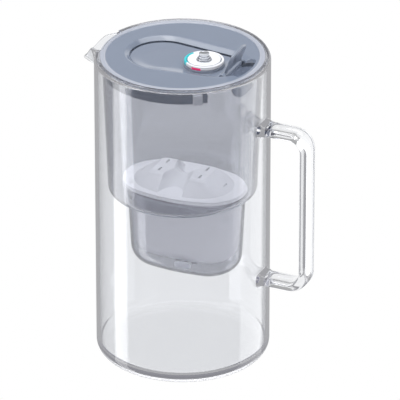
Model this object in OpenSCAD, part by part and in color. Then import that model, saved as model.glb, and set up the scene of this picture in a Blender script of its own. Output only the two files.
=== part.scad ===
// Glass water filter pitcher: a glass jug with a welded glass handle, a hanging hopper that holds
// a filter cartridge, and a press-in lid with a thumb-operated flip flap and a change indicator.
// Origin: centre of the base, on the surface it stands on. +Z up, +X towards the handle.

/* [Glass jug] */
// Height of the glass rim
jug_h = 250.8; // [205:1:305]
// Outer radius of the glass
jug_r = 68; // [67:0.5:84]
// Thickness of the glass wall
glass_wall = 3; // [2.4:0.1:3.6]
// Thickness of the glass floor
glass_base = 7; // [4:0.5:10]
// Outer radius of the corner between wall and floor
base_corner_r = 9; // [6:0.5:14]

/* [Spout] */
// How far the spout stands out of the wall
spout_reach = 16; // [10:0.5:22]
// How far its tip lies below the rim
spout_drop = 15.5; // [6:0.5:20]
// Half the width of its mouth at the rim
spout_half_w = 17; // [10:0.5:20]
// Half the width of its throat, halfway out
spout_throat_w = 7; // [5:0.5:9]
// How far below the rim it leaves the wall
spout_depth = 23; // [20:1:34]

/* [Handle] */
// Width of the glass strap
handle_w = 17; // [12:0.5:22]
// Thickness of the glass strap
handle_t = 8; // [6:0.5:11]
// Distance from the jug wall to the outer face of the grip
handle_reach = 41; // [34:1:56]
// Height of the loop, between the middles of its arms
handle_h = 128.5; // [90:1:150]
// Distance from the glass rim down to the middle of the upper arm
handle_below_rim = 47.3; // [30:1:60]
// Outer radius of the two bends
handle_bend_r = 16; // [11:0.5:20]
// How much the welded feet spread at each side
handle_foot = 2; // [1:0.5:4]

/* [Hopper] */
// Thickness of the hopper wall
hopper_wall = 1.8; // [1.4:0.1:2.4]
// Water passage between hopper and glass
hopper_gap = 3; // [2:0.25:5]
// How much the hopper narrows to its floor
hopper_draft = 4; // [2:0.5:5.5]
// Depth of the tank below the glass rim
tank_depth = 111; // [90:1:130]
// Depth of the cartridge cup below the tank floor
cup_depth = 66; // [61:1:72]
// How far the cup sits towards the handle
cup_x = 3; // [0:0.5:4]
// Thickness of the hopper's rim flange
flange_t = 1.6; // [1.2:0.1:2.4]
// Depth of the seat for the lid in the rim flange
seat_depth = 1.8; // [1.6:0.1:2.4]
// Radius of the outlet holes in the cup
outlet_r = 2; // [1.5:0.25:2.5]

/* [Cartridge] */
// Half the length of the cartridge flange
cartridge_a = 50.5; // [46:0.5:51]
// Half the width of the cartridge flange
cartridge_b = 33; // [28:0.5:36]
// Height of the cartridge body below its flange
cartridge_depth = 57; // [48:1:60]
// How far the middle of the flange sits towards the handle
cartridge_x = 1; // [0:0.5:2]
// Width of the seat that carries the flange
cartridge_seat = 4.6; // [3:0.1:6]
// Height of the two humps above the flange
hump_h = 11.5; // [9:0.5:16]
// Distance of each hump's middle from the cartridge's middle
hump_x = 17; // [15:0.5:20]
// Wall of the cartridge
cartridge_wall = 1.4; // [1:0.1:1.8]

/* [Lid] */
// Thickness of the lid's top
lid_t = 2; // [1.6:0.1:2.6]
// Depth of the sealing plug below the lid seat
plug_depth = 5; // [4:0.5:7]
// Extra depth of the splash skirt round the spout side
skirt_depth = 6.9; // [3:0.1:9]
// Where the skirt ends, as an angle from the handle
skirt_end_angle = 47; // [40:1:50]
// Distance from the lid's plug to the trough at the spout end
trough_margin = 13.3; // [9:0.5:20]
// Half the width of the trough at its wide end
trough_b = 32; // [28:0.5:36]
// Radius of the trough's end at the thumb well
trough_end_r = 27; // [24:0.5:30]
// How far the trough's wall slopes inwards
trough_slope = 6; // [4:0.5:7]
// How much nearer to the spout the trough's wide end lies at the flap than at the top
trough_lean = 2.6; // [0:0.1:4]
// Depth of the trough from the lid's top to the flap
trough_depth = 3.5; // [3:0.1:6]
// Distance from the hinge pin to the back of the thumb well
thumb_room = 16.3; // [15:0.1:20]
// Radius of the thumb well
well_r = 18; // [15:0.5:20]
// Depth of the thumb well below the rim
well_depth = 19.5; // [14:0.5:24]

/* [Flap] */
// Thickness of the flap
flap_t = 2; // [1.6:0.1:2.6]
// Depth of the flap's shallow dish
dish_depth = 1.2; // [0.6:0.1:1.5]
// Length of the thumb tab, from the hinge pin
tab_len = 20.5; // [14:0.5:21]
// Half the width of the thumb tab
tab_half_w = 13.5; // [10:0.5:14]
// Thickness of the thumb tab
tab_t = 2.4; // [2:0.1:2.8]
// Radius of the thumb tab's corners
tab_corner_r = 6; // [3:0.5:8]
// How far the thumb tab leans towards the handle
tab_lean = 21; // [10:1:22]
// Radius of the hinge pin
pin_r = 1.5; // [1:0.1:1.8]

/* [Indicator] */
// Radius of the indicator
indicator_r = 15.4; // [15:0.1:17]
// Distance of its middle from the hinge pin
indicator_from_hinge = 22.8; // [20:0.1:26]
// Radius of the coin cell
cell_r = 10; // [8:0.5:10]
// Thickness of the coin cell
cell_t = 3.2; // [2:0.1:3.5]
// Radius of the button's neck
button_r = 4.3; // [3:0.1:4.5]
// How far the button stands above the indicator's face
button_h = 4.8; // [3:0.2:8]
// Travel of the button
button_travel = 1; // [0.5:0.1:1.2]

/* [Clearances] */
// Gap at flat seats between pieces that come apart
seat_gap = 0.2; // [0.1:0.05:0.4]
// Gap round pieces that slide in
slide_gap = 0.4; // [0.3:0.05:0.6]
// Gap between flap and lid
flap_gap = 0.6; // [0.4:0.1:1]
// Radial gap of the flap's barrel on its pin
pin_gap = 0.06; // [0.02:0.01:0.1]

/* [Hidden] */
$fn = 96;
far = 400;
eps = 0.01;

// --- heights and radii that follow from the sizes above ---
glass_in_r = jug_r - glass_wall;
rim_z = jug_h + flange_t + seat_gap / 2;
seat_z = rim_z - seat_depth;
hopper_top_r = glass_in_r - hopper_gap;
hopper_top_in_r = hopper_top_r - hopper_wall;
hopper_low_r = hopper_top_r - hopper_draft;
hopper_corner_r = 5;
flange_over_glass = 1.6;
flange_skirt = 2.2;
floor_z = jug_h - tank_depth;
floor_t = 2.2;
floor_top_z = floor_z + floor_t;
lid_seat_r = hopper_top_in_r + 3.4;

cup_in_a = cartridge_a - cartridge_seat;
cup_in_b = cartridge_b - cartridge_seat;
cup_corner_r = 15;
cup_draft = 2.5;
cup_z = floor_z - cup_depth;
body_a = cup_in_a - slide_gap * 2;
body_b = cup_in_b - slide_gap * 2;
flange_z = floor_top_z + seat_gap;
cart_flange_t = 2;
cap_z = flange_z + cart_flange_t;
hump_z = cap_z + hump_h;
cart_z = flange_z - cartridge_depth;
screen_t = 0.6;

plug_r = hopper_top_in_r - 0.9;
plug_wall = 1.6;
gasket_r = hopper_top_in_r - 0.2;
lip_z = seat_z + seat_gap;
lid_z = rim_z - 0.1;
lid_dish = 0.8;
lid_top_z = lid_z - lid_dish;
plug_z = seat_z - plug_depth;
skirt_z = plug_z - skirt_depth;
rib_angle = skirt_end_angle + 7;
rib_w = 7;

well_end = plug_r - 2;
hinge_x = well_end - thumb_room;
trough_l = -(plug_r - trough_margin);
trough_rt = well_end - 1.5;
wide_x = trough_l + trough_b;
narrow_x = trough_rt - trough_end_r;
well_z = rim_z - well_depth;
well_wall = 1.6;
well_x = well_end + 0.5;
ear_w = 3.2;
barrel_r = pin_r + 1.3;
barrel_half = tab_half_w + 0.9;
flap_top_z = lid_top_z - trough_depth;
flap_z = flap_top_z - flap_t;
ledge_z = flap_z - seat_gap;
ledge_t = 2.2;
ledge_w = 2;
hinge_z = flap_top_z;
flap_cut_x = hinge_x - barrel_r - flap_gap;
hole_cut_x = flap_cut_x - 1.6;
boss_t = 1.6;

ind_x = hinge_x - indicator_from_hinge;
pad_z = flap_top_z + 1.2;
cup_r = cell_r + 2.6;
cup_bore_r = cell_r + 1.1;
cup_low_z = pad_z - cell_t - 6.4;
ring_z = pad_z + 1;
face_z = ring_z + 2.4;
ring_w = 2;
ring_h = 3;
ring_back = 0.9;
board_z = pad_z - 2.4;
cover_z = cup_low_z + 0.3;
cover_t = 2.2;
lug_z = cover_z + 0.9;
lug_t = 0.8;
cover_turn = 60;
button_top_z = face_z + button_h;
collar_r = button_r + 1.4;
collar_z = face_z + 0.8;
spring_r = button_r - 0.9;
spring_wire = 0.4;
spring_turns = 3;
teal_from = 150;
teal_to = 215;
pink_from = 256;
pink_to = 284;

// --- shared shapes ---

function arc(cx, cy, r, from, to, n = 8) =
    [for (i = [0:n]) let (t = from + (to - from) * i / n) [cx + r * cos(t), cy + r * sin(t)]];

// Outline of an oval of four arcs: half length a, half width b, end radius r
function oval_points(a, b, r) =
    let (s = (pow(a - r, 2) + b * b - r * r) / (2 * (b - r)), k = atan2(s - b, a - r))
    concat(arc(a - r, 0, r, -k, k, 10), arc(0, b - s, s, k, 180 - k, 10),
        arc(r - a, 0, r, 180 - k, 180 + k, 10), arc(0, s - b, s, 180 + k, 360 - k, 10));

// End radius that keeps an oval's shape when it is drawn smaller or larger
function end_r(b) = b * 0.92;

module oval(a, b) {
    polygon(oval_points(a, b, end_r(b)));
}

// Outline of an egg: two arcs of different radius joined by their tangents
function egg_points(x_wide, r_wide, r_narrow) =
    let (k = acos((r_wide - r_narrow) / (narrow_x - x_wide)))
    concat(arc(narrow_x, 0, r_narrow, -k, k, 16), arc(x_wide, 0, r_wide, k, 360 - k, 24));

// The trough's outline, larger all round by grow and leaning to the spout by lean
module egg(grow, lean = trough_lean) {
    polygon(egg_points(wide_x - lean, trough_b + grow, trough_end_r + grow));
}

module egg_slice(grow, z, lean = trough_lean) {
    translate([0, 0, z]) linear_extrude(eps) egg(grow, lean);
}

module oval_slice(a, b, z) {
    translate([0, 0, z]) linear_extrude(eps) oval(a, b);
}

// A cup-shaped solid: it narrows by draft from z_top to z_low and has a round lower edge
module oval_cup(a, b, z_top, z_low, draft, corner) {
    hull() {
        oval_slice(a, b, z_top - eps);
        for (t = [0:15:90])
            oval_slice(a - draft - corner * (1 - cos(t)), b - draft - corner * (1 - cos(t)),
                z_low + corner * (1 - sin(t)));
    }
}

module sector(r, from, to) {
    n = 24;
    polygon(concat([[0, 0]], [for (i = [0:n]) let (t = from + (to - from) * i / n) [r * cos(t), r * sin(t)]]));
}

module tube(r_out, r_in, h) {
    difference() {
        cylinder(r = r_out, h = h);
        translate([0, 0, -1]) cylinder(r = r_in, h = h + 2);
    }
}

// --- glass jug ---

spout_wall_r = jug_r - glass_wall / 2;
spout_angle = asin(spout_half_w / spout_wall_r);
spout_tip = [-(jug_r + spout_reach - glass_wall / 2), 0, jug_h - spout_drop];
spout_root = [-spout_wall_r, 0, jug_h - spout_depth];

function spout_corner(side) =
    [-spout_wall_r * cos(spout_angle), side * spout_half_w, jug_h - glass_wall / 2];

function spout_throat(side) =
    [-(jug_r + spout_reach / 2), side * spout_throat_w, jug_h - spout_drop * 0.42];

module jug_section() {
    inner_r = max(base_corner_r - glass_wall, 1);
    polygon(concat([[0, 0]],
        arc(jug_r - base_corner_r, base_corner_r, base_corner_r, -90, 0),
        arc(jug_r - glass_wall / 2, jug_h - glass_wall / 2, glass_wall / 2, 0, 180),
        arc(glass_in_r - inner_r, glass_base + inner_r, inner_r, 0, -90),
        [[0, glass_base]]));
}

module glass_plate(points) {
    hull() for (p = points) translate(p) sphere(glass_wall / 2, $fn = 20);
}

// One flank of the spout: it narrows quickly to the throat and then runs to the tip
module spout_flank(side) {
    glass_plate([spout_corner(side), spout_throat(side), spout_root]);
    glass_plate([spout_throat(side), spout_tip, spout_root]);
}

module open_upwards(points) {
    hull() for (dz = [0, 30], p = points) translate(p + [0, 0, dz]) cube(eps, center = true);
}

// The space between the flanks, open upwards and into the jug
module spout_mouth() {
    crease = glass_wall * [0.4, 0, 0.85];
    inner = function (side) glass_wall * [0.2, -side * 0.42, 0.27];
    throat = [for (side = [-1, 1]) spout_throat(side) + inner(side)];
    corners = [for (side = [-1, 1], dx = [0, 8]) spout_corner(side) + inner(side) + [dx, 0, 0]];
    root = [for (dx = [0, 8]) spout_root + crease + [dx, 0, 0]];
    open_upwards(concat(throat, corners, root));
    open_upwards(concat(throat, [spout_tip + crease, root[0]]));
}

module glass_body() {
    color([0.9, 0.93, 0.95, 0.35]) difference() {
        union() {
            rotate_extrude() jug_section();
            spout_flank(1);
            spout_flank(-1);
        }
        spout_mouth();
    }
}

module rounded_square(x0, x1, y0, y1, r) {
    translate([x0, y0 + r]) square([x1 - x0, y1 - y0 - 2 * r]);
    translate([x0, y0]) square([x1 - x0 - r, y1 - y0]);
    for (y = [y0 + r, y1 - r]) translate([x1 - r, y]) circle(r);
}

module handle_foot_at(z) {
    hull() {
        translate([jug_r - 4, -handle_w / 2 - handle_foot, z - handle_t / 2 - handle_foot])
            cube([4 + handle_foot / 2, handle_w + 2 * handle_foot, handle_t + 2 * handle_foot]);
        translate([jug_r + 2 * handle_foot, -handle_w / 2, z - handle_t / 2])
            cube([eps, handle_w, handle_t]);
    }
}

module glass_handle() {
    top_z = jug_h - handle_below_rim;
    low_z = top_z - handle_h;
    out_x = jug_r + handle_reach;
    color([0.9, 0.93, 0.95, 0.35]) difference() {
        union() {
            rotate([90, 0, 0]) translate([0, 0, -handle_w / 2]) linear_extrude(handle_w) difference() {
                rounded_square(jug_r - 6, out_x, low_z - handle_t / 2, top_z + handle_t / 2, handle_bend_r);
                rounded_square(jug_r - 7, out_x - handle_t, low_z + handle_t / 2, top_z - handle_t / 2,
                    handle_bend_r - handle_t);
            }
            handle_foot_at(top_z);
            handle_foot_at(low_z);
        }
        cylinder(r = jug_r, h = far);
    }
}

// --- hopper ---

module hopper_section() {
    skirt_r = glass_in_r - slide_gap;
    under_z = jug_h + seat_gap / 2;
    in_corner = hopper_corner_r - hopper_wall;
    polygon(concat([[0, floor_z]],
        arc(hopper_low_r - hopper_corner_r, floor_z + hopper_corner_r, hopper_corner_r, -90, 0),
        [[hopper_top_r, jug_h - flange_skirt], [skirt_r, jug_h - flange_skirt], [skirt_r, under_z],
            [glass_in_r + flange_over_glass, under_z], [glass_in_r + flange_over_glass, rim_z - 0.4],
            [glass_in_r + flange_over_glass - 0.4, rim_z], [lid_seat_r + slide_gap / 2, rim_z],
            [lid_seat_r + slide_gap / 2, seat_z], [hopper_top_in_r, seat_z],
            [hopper_top_in_r, jug_h - flange_skirt]],
        arc(hopper_low_r - hopper_wall - in_corner, floor_top_z + in_corner, in_corner, 0, -90),
        [[0, floor_top_z]]));
}

// Ribs that turn the lid the right way round: they stand in the slots of its skirt
module locating_ribs() {
    rib_top = plug_z - slide_gap;
    for (side = [-1, 1]) intersection() {
        rotate([0, 0, side * rib_angle]) translate([plug_r - plug_wall + 0.2, -rib_w / 2, skirt_z - 2])
            cube([6, rib_w, rib_top - skirt_z + 2]);
        cylinder(r1 = hopper_low_r - 1, r2 = hopper_top_r - 0.9, h = jug_h);
    }
}

module outlet_holes() {
    translate([cup_x, 0, cup_z - 1]) {
        for (i = [0:5]) rotate([0, 0, 60 * i]) translate([outlet_r * 3.4, 0, 0]) cylinder(r = outlet_r, h = 6);
        cylinder(r = outlet_r, h = 6);
    }
}

// A bare raised oval on the front of the cup
module cup_badge() {
    translate([cup_x + 9, -cup_in_b - hopper_wall + cup_draft, cup_z + cup_corner_r - 2])
        rotate([72, 0, 0]) linear_extrude(3, center = true) difference() {
            oval(7, 3.4);
            oval(5.8, 2.3);
        }
}

module hopper() {
    cup_a = cup_in_a + hopper_wall;
    cup_b = cup_in_b + hopper_wall;
    color([0.55, 0.61, 0.7, 0.6]) difference() {
        union() {
            rotate_extrude() hopper_section();
            translate([cup_x, 0, 0])
                oval_cup(cup_a, cup_b, floor_z + floor_t / 2, cup_z, cup_draft, cup_corner_r);
            cup_badge();
            locating_ribs();
        }
        translate([cup_x, 0, 0]) oval_cup(cup_in_a, cup_in_b, floor_top_z + 1, cup_z + hopper_wall, cup_draft,
            cup_corner_r - hopper_wall);
        outlet_holes();
        translate([-far / 2 - hopper_top_r - 0.3, 0, jug_h])
            cube([far, 2 * spout_half_w + 4, 20], center = true);
    }
}

// --- filter cartridge ---

module cartridge_body() {
    in = cartridge_wall;
    color([0.86, 0.88, 0.92]) difference() {
        union() {
            translate([cartridge_x, 0, flange_z]) linear_extrude(cart_flange_t) oval(cartridge_a, cartridge_b);
            translate([cup_x, 0, 0])
                oval_cup(body_a, body_b, flange_z + 0.5, cart_z, cup_draft, cup_corner_r - 3);
        }
        translate([cup_x, 0, 0]) {
            oval_cup(body_a - in, body_b - in, flange_z + 0.6, cart_z + in, cup_draft, cup_corner_r - 3 - in);
            translate([0, 0, flange_z + 0.4]) linear_extrude(4) oval(body_a - in, body_b - in);
            for (x = [-20:5:20], y = [-6, 0, 6]) translate([x, y, cart_z - 1])
                cylinder(r = 0.9, h = 4, $fn = 24);
        }
    }
}

// The loaf-shaped cap, drawn smaller by inset for the space inside it
module cap_loaf(inset) {
    top_a = hump_x + 6.5 - inset;
    hull() {
        oval_slice(cartridge_a - 3.5 - inset, cartridge_b - 3.5 - inset, cap_z - 0.5);
        oval_slice(cartridge_a - 4.5 - inset, cartridge_b - 4.5 - inset, cap_z + 1.2 - inset / 2);
        translate([0, 0, hump_z - 1.6 - inset]) linear_extrude(eps)
            square([2 * top_a + 4, 31 - 2 * inset], center = true);
        translate([0, 0, hump_z - inset]) linear_extrude(eps)
            square([2 * top_a, 27 - 2 * inset], center = true);
    }
}

// Finger scoops at both sides of the web by which the cartridge is pulled out
module cap_scoops(grow) {
    scoop_r = hump_x - 6.2;
    tilt = 30;
    for (side = [-1, 1]) translate([0, side * 3, hump_z + scoop_r]) rotate([side * (90 + tilt), 0, 0])
        cylinder(r = scoop_r + grow, h = 60);
}

module cartridge_cap() {
    slot = [1.1, 6, 12];
    color([0.93, 0.94, 0.96]) translate([cartridge_x, 0, 0]) difference() {
        union() {
            translate([0, 0, cap_z]) linear_extrude(1.2) oval(cartridge_a - 0.6, cartridge_b - 0.6);
            cap_loaf(0);
        }
        translate([0, 0, cap_z - 2]) linear_extrude(2) oval(cartridge_a, cartridge_b);
        cap_scoops(0);
        difference() {
            cap_loaf(cartridge_wall);
            cap_scoops(cartridge_wall);
        }
        for (x = [-1, 1], y = [-1, 1]) translate([x * hump_x, y * 7.2, hump_z]) cube(slot, center = true);
        for (x = [-1, 1]) translate([x * (hump_x + 18), 0, cap_z + 4]) cube(slot, center = true);
    }
}

module cartridge_seal() {
    height = 2.4;
    color([0.75, 0.8, 0.86]) translate([cup_x, 0, flange_z - height - 0.3]) difference() {
        linear_extrude(height) oval(cup_in_a - 0.28, cup_in_b - 0.28);
        translate([0, 0, -1]) linear_extrude(height + 2) oval(body_a + 0.01, body_b + 0.01);
    }
}

module inlet_screen() {
    color("white") translate([cup_x, 0, cap_z - screen_t - 0.1]) linear_extrude(screen_t)
        oval(body_a - cartridge_wall - 0.2, body_b - cartridge_wall - 0.2);
}

module filter_media() {
    in = cartridge_wall + 0.3;
    color([0.2, 0.2, 0.22]) translate([cup_x, 0, 0]) oval_cup(body_a - in - 1, body_b - in - 1,
        cap_z - screen_t - 0.4, cart_z + in + screen_t + 0.2, cup_draft, cup_corner_r - 3);
}

module outlet_screen() {
    color("white") translate([cup_x, 0, cart_z + cartridge_wall]) linear_extrude(screen_t)
        oval(body_a - cup_draft - cup_corner_r, body_b - cup_draft - cup_corner_r);
}

// --- lid ---

module lid_section() {
    top_r = plug_r + 0.5;
    under_z = lid_top_z - lid_t;
    polygon([[0, under_z], [plug_r - plug_wall, under_z], [plug_r - plug_wall, plug_z], [plug_r, plug_z],
        [plug_r, lip_z], [lid_seat_r, lip_z], [lid_seat_r, lid_z - 0.8], [lid_seat_r - 0.8, lid_z],
        [top_r, lid_z], [top_r - 1.5 * lid_dish, lid_top_z], [0, lid_top_z]]);
}

module splash_skirt() {
    slot_half = asin((rib_w / 2 + slide_gap) / plug_r);
    difference() {
        translate([0, 0, skirt_z]) tube(plug_r, plug_r - plug_wall, plug_z - skirt_z + 0.5);
        translate([0, 0, skirt_z - 1]) linear_extrude(20) sector(far / 2, -skirt_end_angle, skirt_end_angle);
        for (side = [-1, 1]) translate([0, 0, skirt_z - 1]) linear_extrude(plug_z - skirt_z + 1)
            sector(far / 2, side * rib_angle - slot_half, side * rib_angle + slot_half);
    }
}

// The egg-shaped trough: upright below the flap's top, sloping outwards above it
module trough(grow, z_low, z_top) {
    low = grow - trough_slope;
    rise = (z_top - flap_top_z) / trough_depth;
    translate([0, 0, z_low]) linear_extrude(flap_top_z - z_low + eps) egg(low);
    hull() {
        egg_slice(low, flap_top_z);
        egg_slice(low + trough_slope * rise, z_top, trough_lean * (1 - rise));
    }
}

module well(grow, z_low) {
    translate([0, 0, z_low]) linear_extrude(rim_z + 10 - z_low) intersection() {
        translate([well_x, 0]) circle(well_r + grow);
        circle(well_end + grow);
    }
}

module hinge_ears() {
    for (side = [-1, 1]) translate([0, side * (barrel_half + 0.3 + ear_w / 2), 0]) rotate([90, 0, 0]) {
        translate([hinge_x, hinge_z, -ear_w / 2]) cylinder(r = barrel_r, h = ear_w);
        translate([hinge_x - barrel_r, ledge_z - 0.5, -ear_w / 2])
            cube([2 * barrel_r, hinge_z - ledge_z + 0.5, ear_w]);
    }
}

module pin_bore(r, half) {
    translate([hinge_x, half, hinge_z]) rotate([90, 0, 0]) cylinder(r = r, h = 2 * half);
}

module lid_cover() {
    color([0.5, 0.56, 0.66, 0.85]) difference() {
        union() {
            rotate_extrude() lid_section();
            splash_skirt();
            intersection() {
                union() {
                    trough(well_wall, ledge_z - ledge_t, lid_top_z - lid_t / 2);
                    well(well_wall, well_z - well_wall);
                }
                cylinder(r = plug_r, h = lid_top_z);
            }
        }
        difference() {
            trough(0, ledge_z, rim_z + 1);
            hinge_ears();
        }
        intersection() {
            translate([0, 0, ledge_z - 10]) linear_extrude(20) egg(-trough_slope - ledge_w);
            translate([hole_cut_x - far, -far / 2, 0]) cube([far, far, far]);
        }
        difference() {
            well(0, well_z);
            translate([-far + hinge_x - barrel_r - 0.3, -far / 2, 0]) cube([far, far, far]);
        }
        pin_bore(pin_r, barrel_half + ear_w - 0.4);
        translate([hinge_x, barrel_half + 0.3, hinge_z]) rotate([90, 0, 0])
            cylinder(r = barrel_r + 0.4, h = 2 * barrel_half + 0.6);
    }
}

module lid_gasket() {
    height = plug_depth - 0.6;
    lip = 0.5;
    color([0.82, 0.85, 0.89]) rotate_extrude() polygon([[plug_r, plug_z + 0.3], [gasket_r - lip, plug_z + 0.3],
        [gasket_r, plug_z + 0.9], [gasket_r - lip, plug_z + 1.7], [gasket_r - lip, plug_z + 2.6],
        [gasket_r, plug_z + 3.2], [gasket_r - lip, plug_z + height], [plug_r, plug_z + height]]);
}

module hinge_pin() {
    color([0.75, 0.76, 0.78]) pin_bore(pin_r, barrel_half + ear_w - 0.7);
}

// --- flap ---

module flap_plate() {
    plate = -trough_slope - flap_gap;
    intersection() {
        translate([0, 0, flap_z]) linear_extrude(flap_t) egg(plate);
        translate([flap_cut_x - far, -far / 2, 0]) cube([far, far, far]);
    }
    intersection() {
        translate([0, 0, flap_z - boss_t]) linear_extrude(boss_t + 0.5) egg(plate - ledge_w);
        translate([hole_cut_x - flap_gap - far, -far / 2, 0]) cube([far, far, far]);
    }
}

// A shallow pan in the flap's top, with gently sloping sides
module dish_cut() {
    edge = -trough_slope - flap_gap - 2.5;
    hull() {
        egg_slice(edge - 9, flap_top_z - dish_depth);
        egg_slice(edge, flap_top_z);
    }
}

// An upright plate with rounded corners and an arched top, leaning back from the hinge pin
module thumb_tab() {
    arch_r = 2.2 * tab_half_w;
    corner_y = tab_half_w - tab_corner_r;
    rotate([0, tab_lean, 0]) translate([tab_t / 2, 0, 0]) rotate([0, -90, 0]) linear_extrude(tab_t)
        intersection() {
            union() {
                translate([0, -tab_half_w]) square([tab_len - tab_corner_r, 2 * tab_half_w]);
                translate([0, -corner_y]) square([tab_len, 2 * corner_y]);
                for (side = [-1, 1]) translate([tab_len - tab_corner_r, side * corner_y]) circle(tab_corner_r);
            }
            translate([tab_len - arch_r, 0]) circle(arch_r);
        }
}

module flip_flap() {
    barrel = barrel_half - 0.1;
    color([0.5, 0.56, 0.66, 0.85]) difference() {
        union() {
            difference() {
                flap_plate();
                dish_cut();
            }
            translate([ind_x, 0, flap_z - boss_t]) cylinder(r = indicator_r + 0.6, h = pad_z - flap_z + boss_t);
            translate([hinge_x, barrel, hinge_z]) rotate([90, 0, 0]) cylinder(r = barrel_r, h = 2 * barrel);
            translate([flap_cut_x - 1, -barrel, flap_z]) cube([hinge_x - flap_cut_x + 1, 2 * barrel, flap_t]);
            translate([hinge_x, 0, hinge_z]) thumb_tab();
        }
        translate([ind_x, 0, 0]) cylinder(r = cup_r + 0.1, h = far);
        pin_bore(pin_r + pin_gap, barrel + 1);
    }
}

// --- indicator ---

module at_indicator(z) {
    translate([ind_x, 0, z]) children();
}

// The bayonet's groove, and the two slots that let the cover's lugs into it
module bayonet_groove() {
    groove_r = cup_r - 0.5;
    translate([0, 0, lug_z - 0.15]) cylinder(r = groove_r, h = lug_t + 0.3);
    intersection() {
        translate([0, 0, cup_low_z - 1]) cylinder(r = groove_r, h = lug_z - cup_low_z + 1.3);
        linear_extrude(far) for (a = [0, 180]) rotate([0, 0, a]) sector(far / 4, -16, 16);
    }
}

module indicator_cup() {
    peg = [1.6, 2, 1];
    rim_r = indicator_r - ring_w - 0.4;
    color([0.62, 0.66, 0.72]) at_indicator(0) {
        difference() {
            union() {
                translate([0, 0, cup_low_z]) cylinder(r = cup_r, h = pad_z - cup_low_z);
                translate([0, 0, pad_z - 1]) cylinder(r = min(cup_r, rim_r), h = 1.5);
                translate([0, 0, pad_z + 0.02]) cylinder(r = rim_r, h = 0.9);
            }
            cylinder(r = cup_bore_r, h = pad_z - 0.6);
            cylinder(r = min(cup_bore_r, rim_r - 1.6), h = far);
            bayonet_groove();
        }
        // Three pegs carry the circuit board
        for (i = [0:2]) rotate([0, 0, 120 * i + 60])
            translate([cup_bore_r + 0.5 - peg[0], -peg[1] / 2, board_z - peg[2]]) cube(peg);
    }
}

// The bevelled ring round the indicator's face, from r_in to its outer edge
module ring_solid(r_in) {
    bevel = 0.8;
    at_indicator(pad_z + 0.05) rotate_extrude() polygon([[r_in, 0], [indicator_r - 0.3, 0], [indicator_r, 0.4],
        [indicator_r, ring_h - 1.1], [indicator_r - bevel, ring_h], [r_in, ring_h]]);
}

module ring_sector(from, to) {
    at_indicator(pad_z - 1) linear_extrude(ring_h + 3) sector(2 * indicator_r, from, to);
}

module light_band(from, to) {
    intersection() {
        ring_solid(indicator_r - ring_w + ring_back + 0.15);
        ring_sector(from, to);
    }
}

module light_ring() {
    gap = 0.2;
    color([0.97, 0.98, 1]) difference() {
        ring_solid(indicator_r - ring_w);
        difference() {
            for (s = [[teal_from, teal_to], [pink_from, pink_to]]) ring_sector(s[0] - gap, s[1] + gap);
            at_indicator(0) cylinder(r = indicator_r - ring_w + ring_back, h = far);
        }
    }
}

module ready_light() {
    color([0.2, 0.75, 0.75]) light_band(teal_from, teal_to);
}

module change_light() {
    color([0.85, 0.1, 0.4]) light_band(pink_from, pink_to);
}

module indicator_face() {
    face_r = indicator_r - ring_w - 0.1;
    color([0.97, 0.98, 1]) at_indicator(0) difference() {
        union() {
            rotate_extrude() polygon(concat([[0, ring_z], [face_r, ring_z], [face_r, ring_z + 1.8]],
                [for (i = [1:6]) let (t = i / 6) [face_r * (1 - t), ring_z + 1.8 + 0.6 * sin(90 * t)]]));
            translate([0, 0, face_z - 1]) cylinder(r = collar_r, h = collar_z - face_z + 1);
        }
        cylinder(r = button_r + 0.15, h = far);
        translate([0, 0, ring_z - 0.1]) tube(face_r - 1.4, button_r + 1.2, 1);
    }
}

module reset_button() {
    foot_z = board_z + 1 + spring_wire * 2 + 0.9 + button_travel;
    step_z = face_z + button_h * 0.66;
    color([0.85, 0.86, 0.88]) at_indicator(0) difference() {
        union() {
            translate([0, 0, foot_z]) cylinder(r = button_r, h = step_z - foot_z);
            translate([0, 0, step_z])
                cylinder(r1 = button_r - 0.3, r2 = button_r - 0.7, h = button_top_z - step_z);
        }
        translate([0, 0, button_top_z + 9.4]) sphere(r = 10);
    }
}

// One unbroken conical coil, whose turns fit inside each other when it is pressed flat: rings of
// points along a helix, joined into a tube
function helix_ring(i, steps, wire, rise) =
    let (share = i / steps, t = 360 * spring_turns * share)
    let (r = spring_r - 1.5 * spring_wire * spring_turns * share)
    [for (w = [0:60:300]) let (out = r + wire * cos(w))
        [out * cos(t), out * sin(t), rise * share + wire * sin(w)]];

module button_spring() {
    steps = spring_turns * 24;
    rest_len = button_travel + spring_wire * 2 - 0.1;
    low_z = board_z + 1 + spring_wire + 0.05;
    rings = [for (i = [0:steps]) helix_ring(i, steps, spring_wire / 2, rest_len)];
    points = [for (ring = rings) each ring];
    sides = [for (i = [0:steps - 1], k = [0:5]) let (a = i * 6 + k, b = i * 6 + (k + 1) % 6)
        each [[a, b, a + 6], [b, b + 6, a + 6]]];
    caps = [for (k = [1:4]) each [[0, k + 1, k], [steps * 6, steps * 6 + k, steps * 6 + k + 1]]];
    color([0.8, 0.8, 0.82]) at_indicator(low_z) polyhedron(points, concat(sides, caps));
}

module circuit_board() {
    color([0.1, 0.4, 0.25]) at_indicator(board_z + 0.02) difference() {
        cylinder(r = cup_bore_r - 0.2, h = 1);
        for (a = [-90, 90]) rotate([0, 0, a]) translate([cup_bore_r - 1.6, 0, -1])
            cylinder(r = 0.6, h = 3, $fn = 24);
    }
}

module led_chips() {
    color([0.95, 0.95, 0.85]) for (a = [(teal_from + teal_to) / 2, (pink_from + pink_to) / 2, 30])
        at_indicator(board_z + 1.03) rotate([0, 0, a]) translate([cup_bore_r - 3.4, -1, 0]) cube([1.6, 2, 0.7]);
}

module coin_cell() {
    color([0.75, 0.76, 0.78]) at_indicator(cell_low_z()) {
        cylinder(r = cell_r, h = cell_t * 0.7);
        cylinder(r = cell_r - 1.2, h = cell_t);
    }
}

function cell_low_z() = board_z - 1.3 - cell_t;

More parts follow.
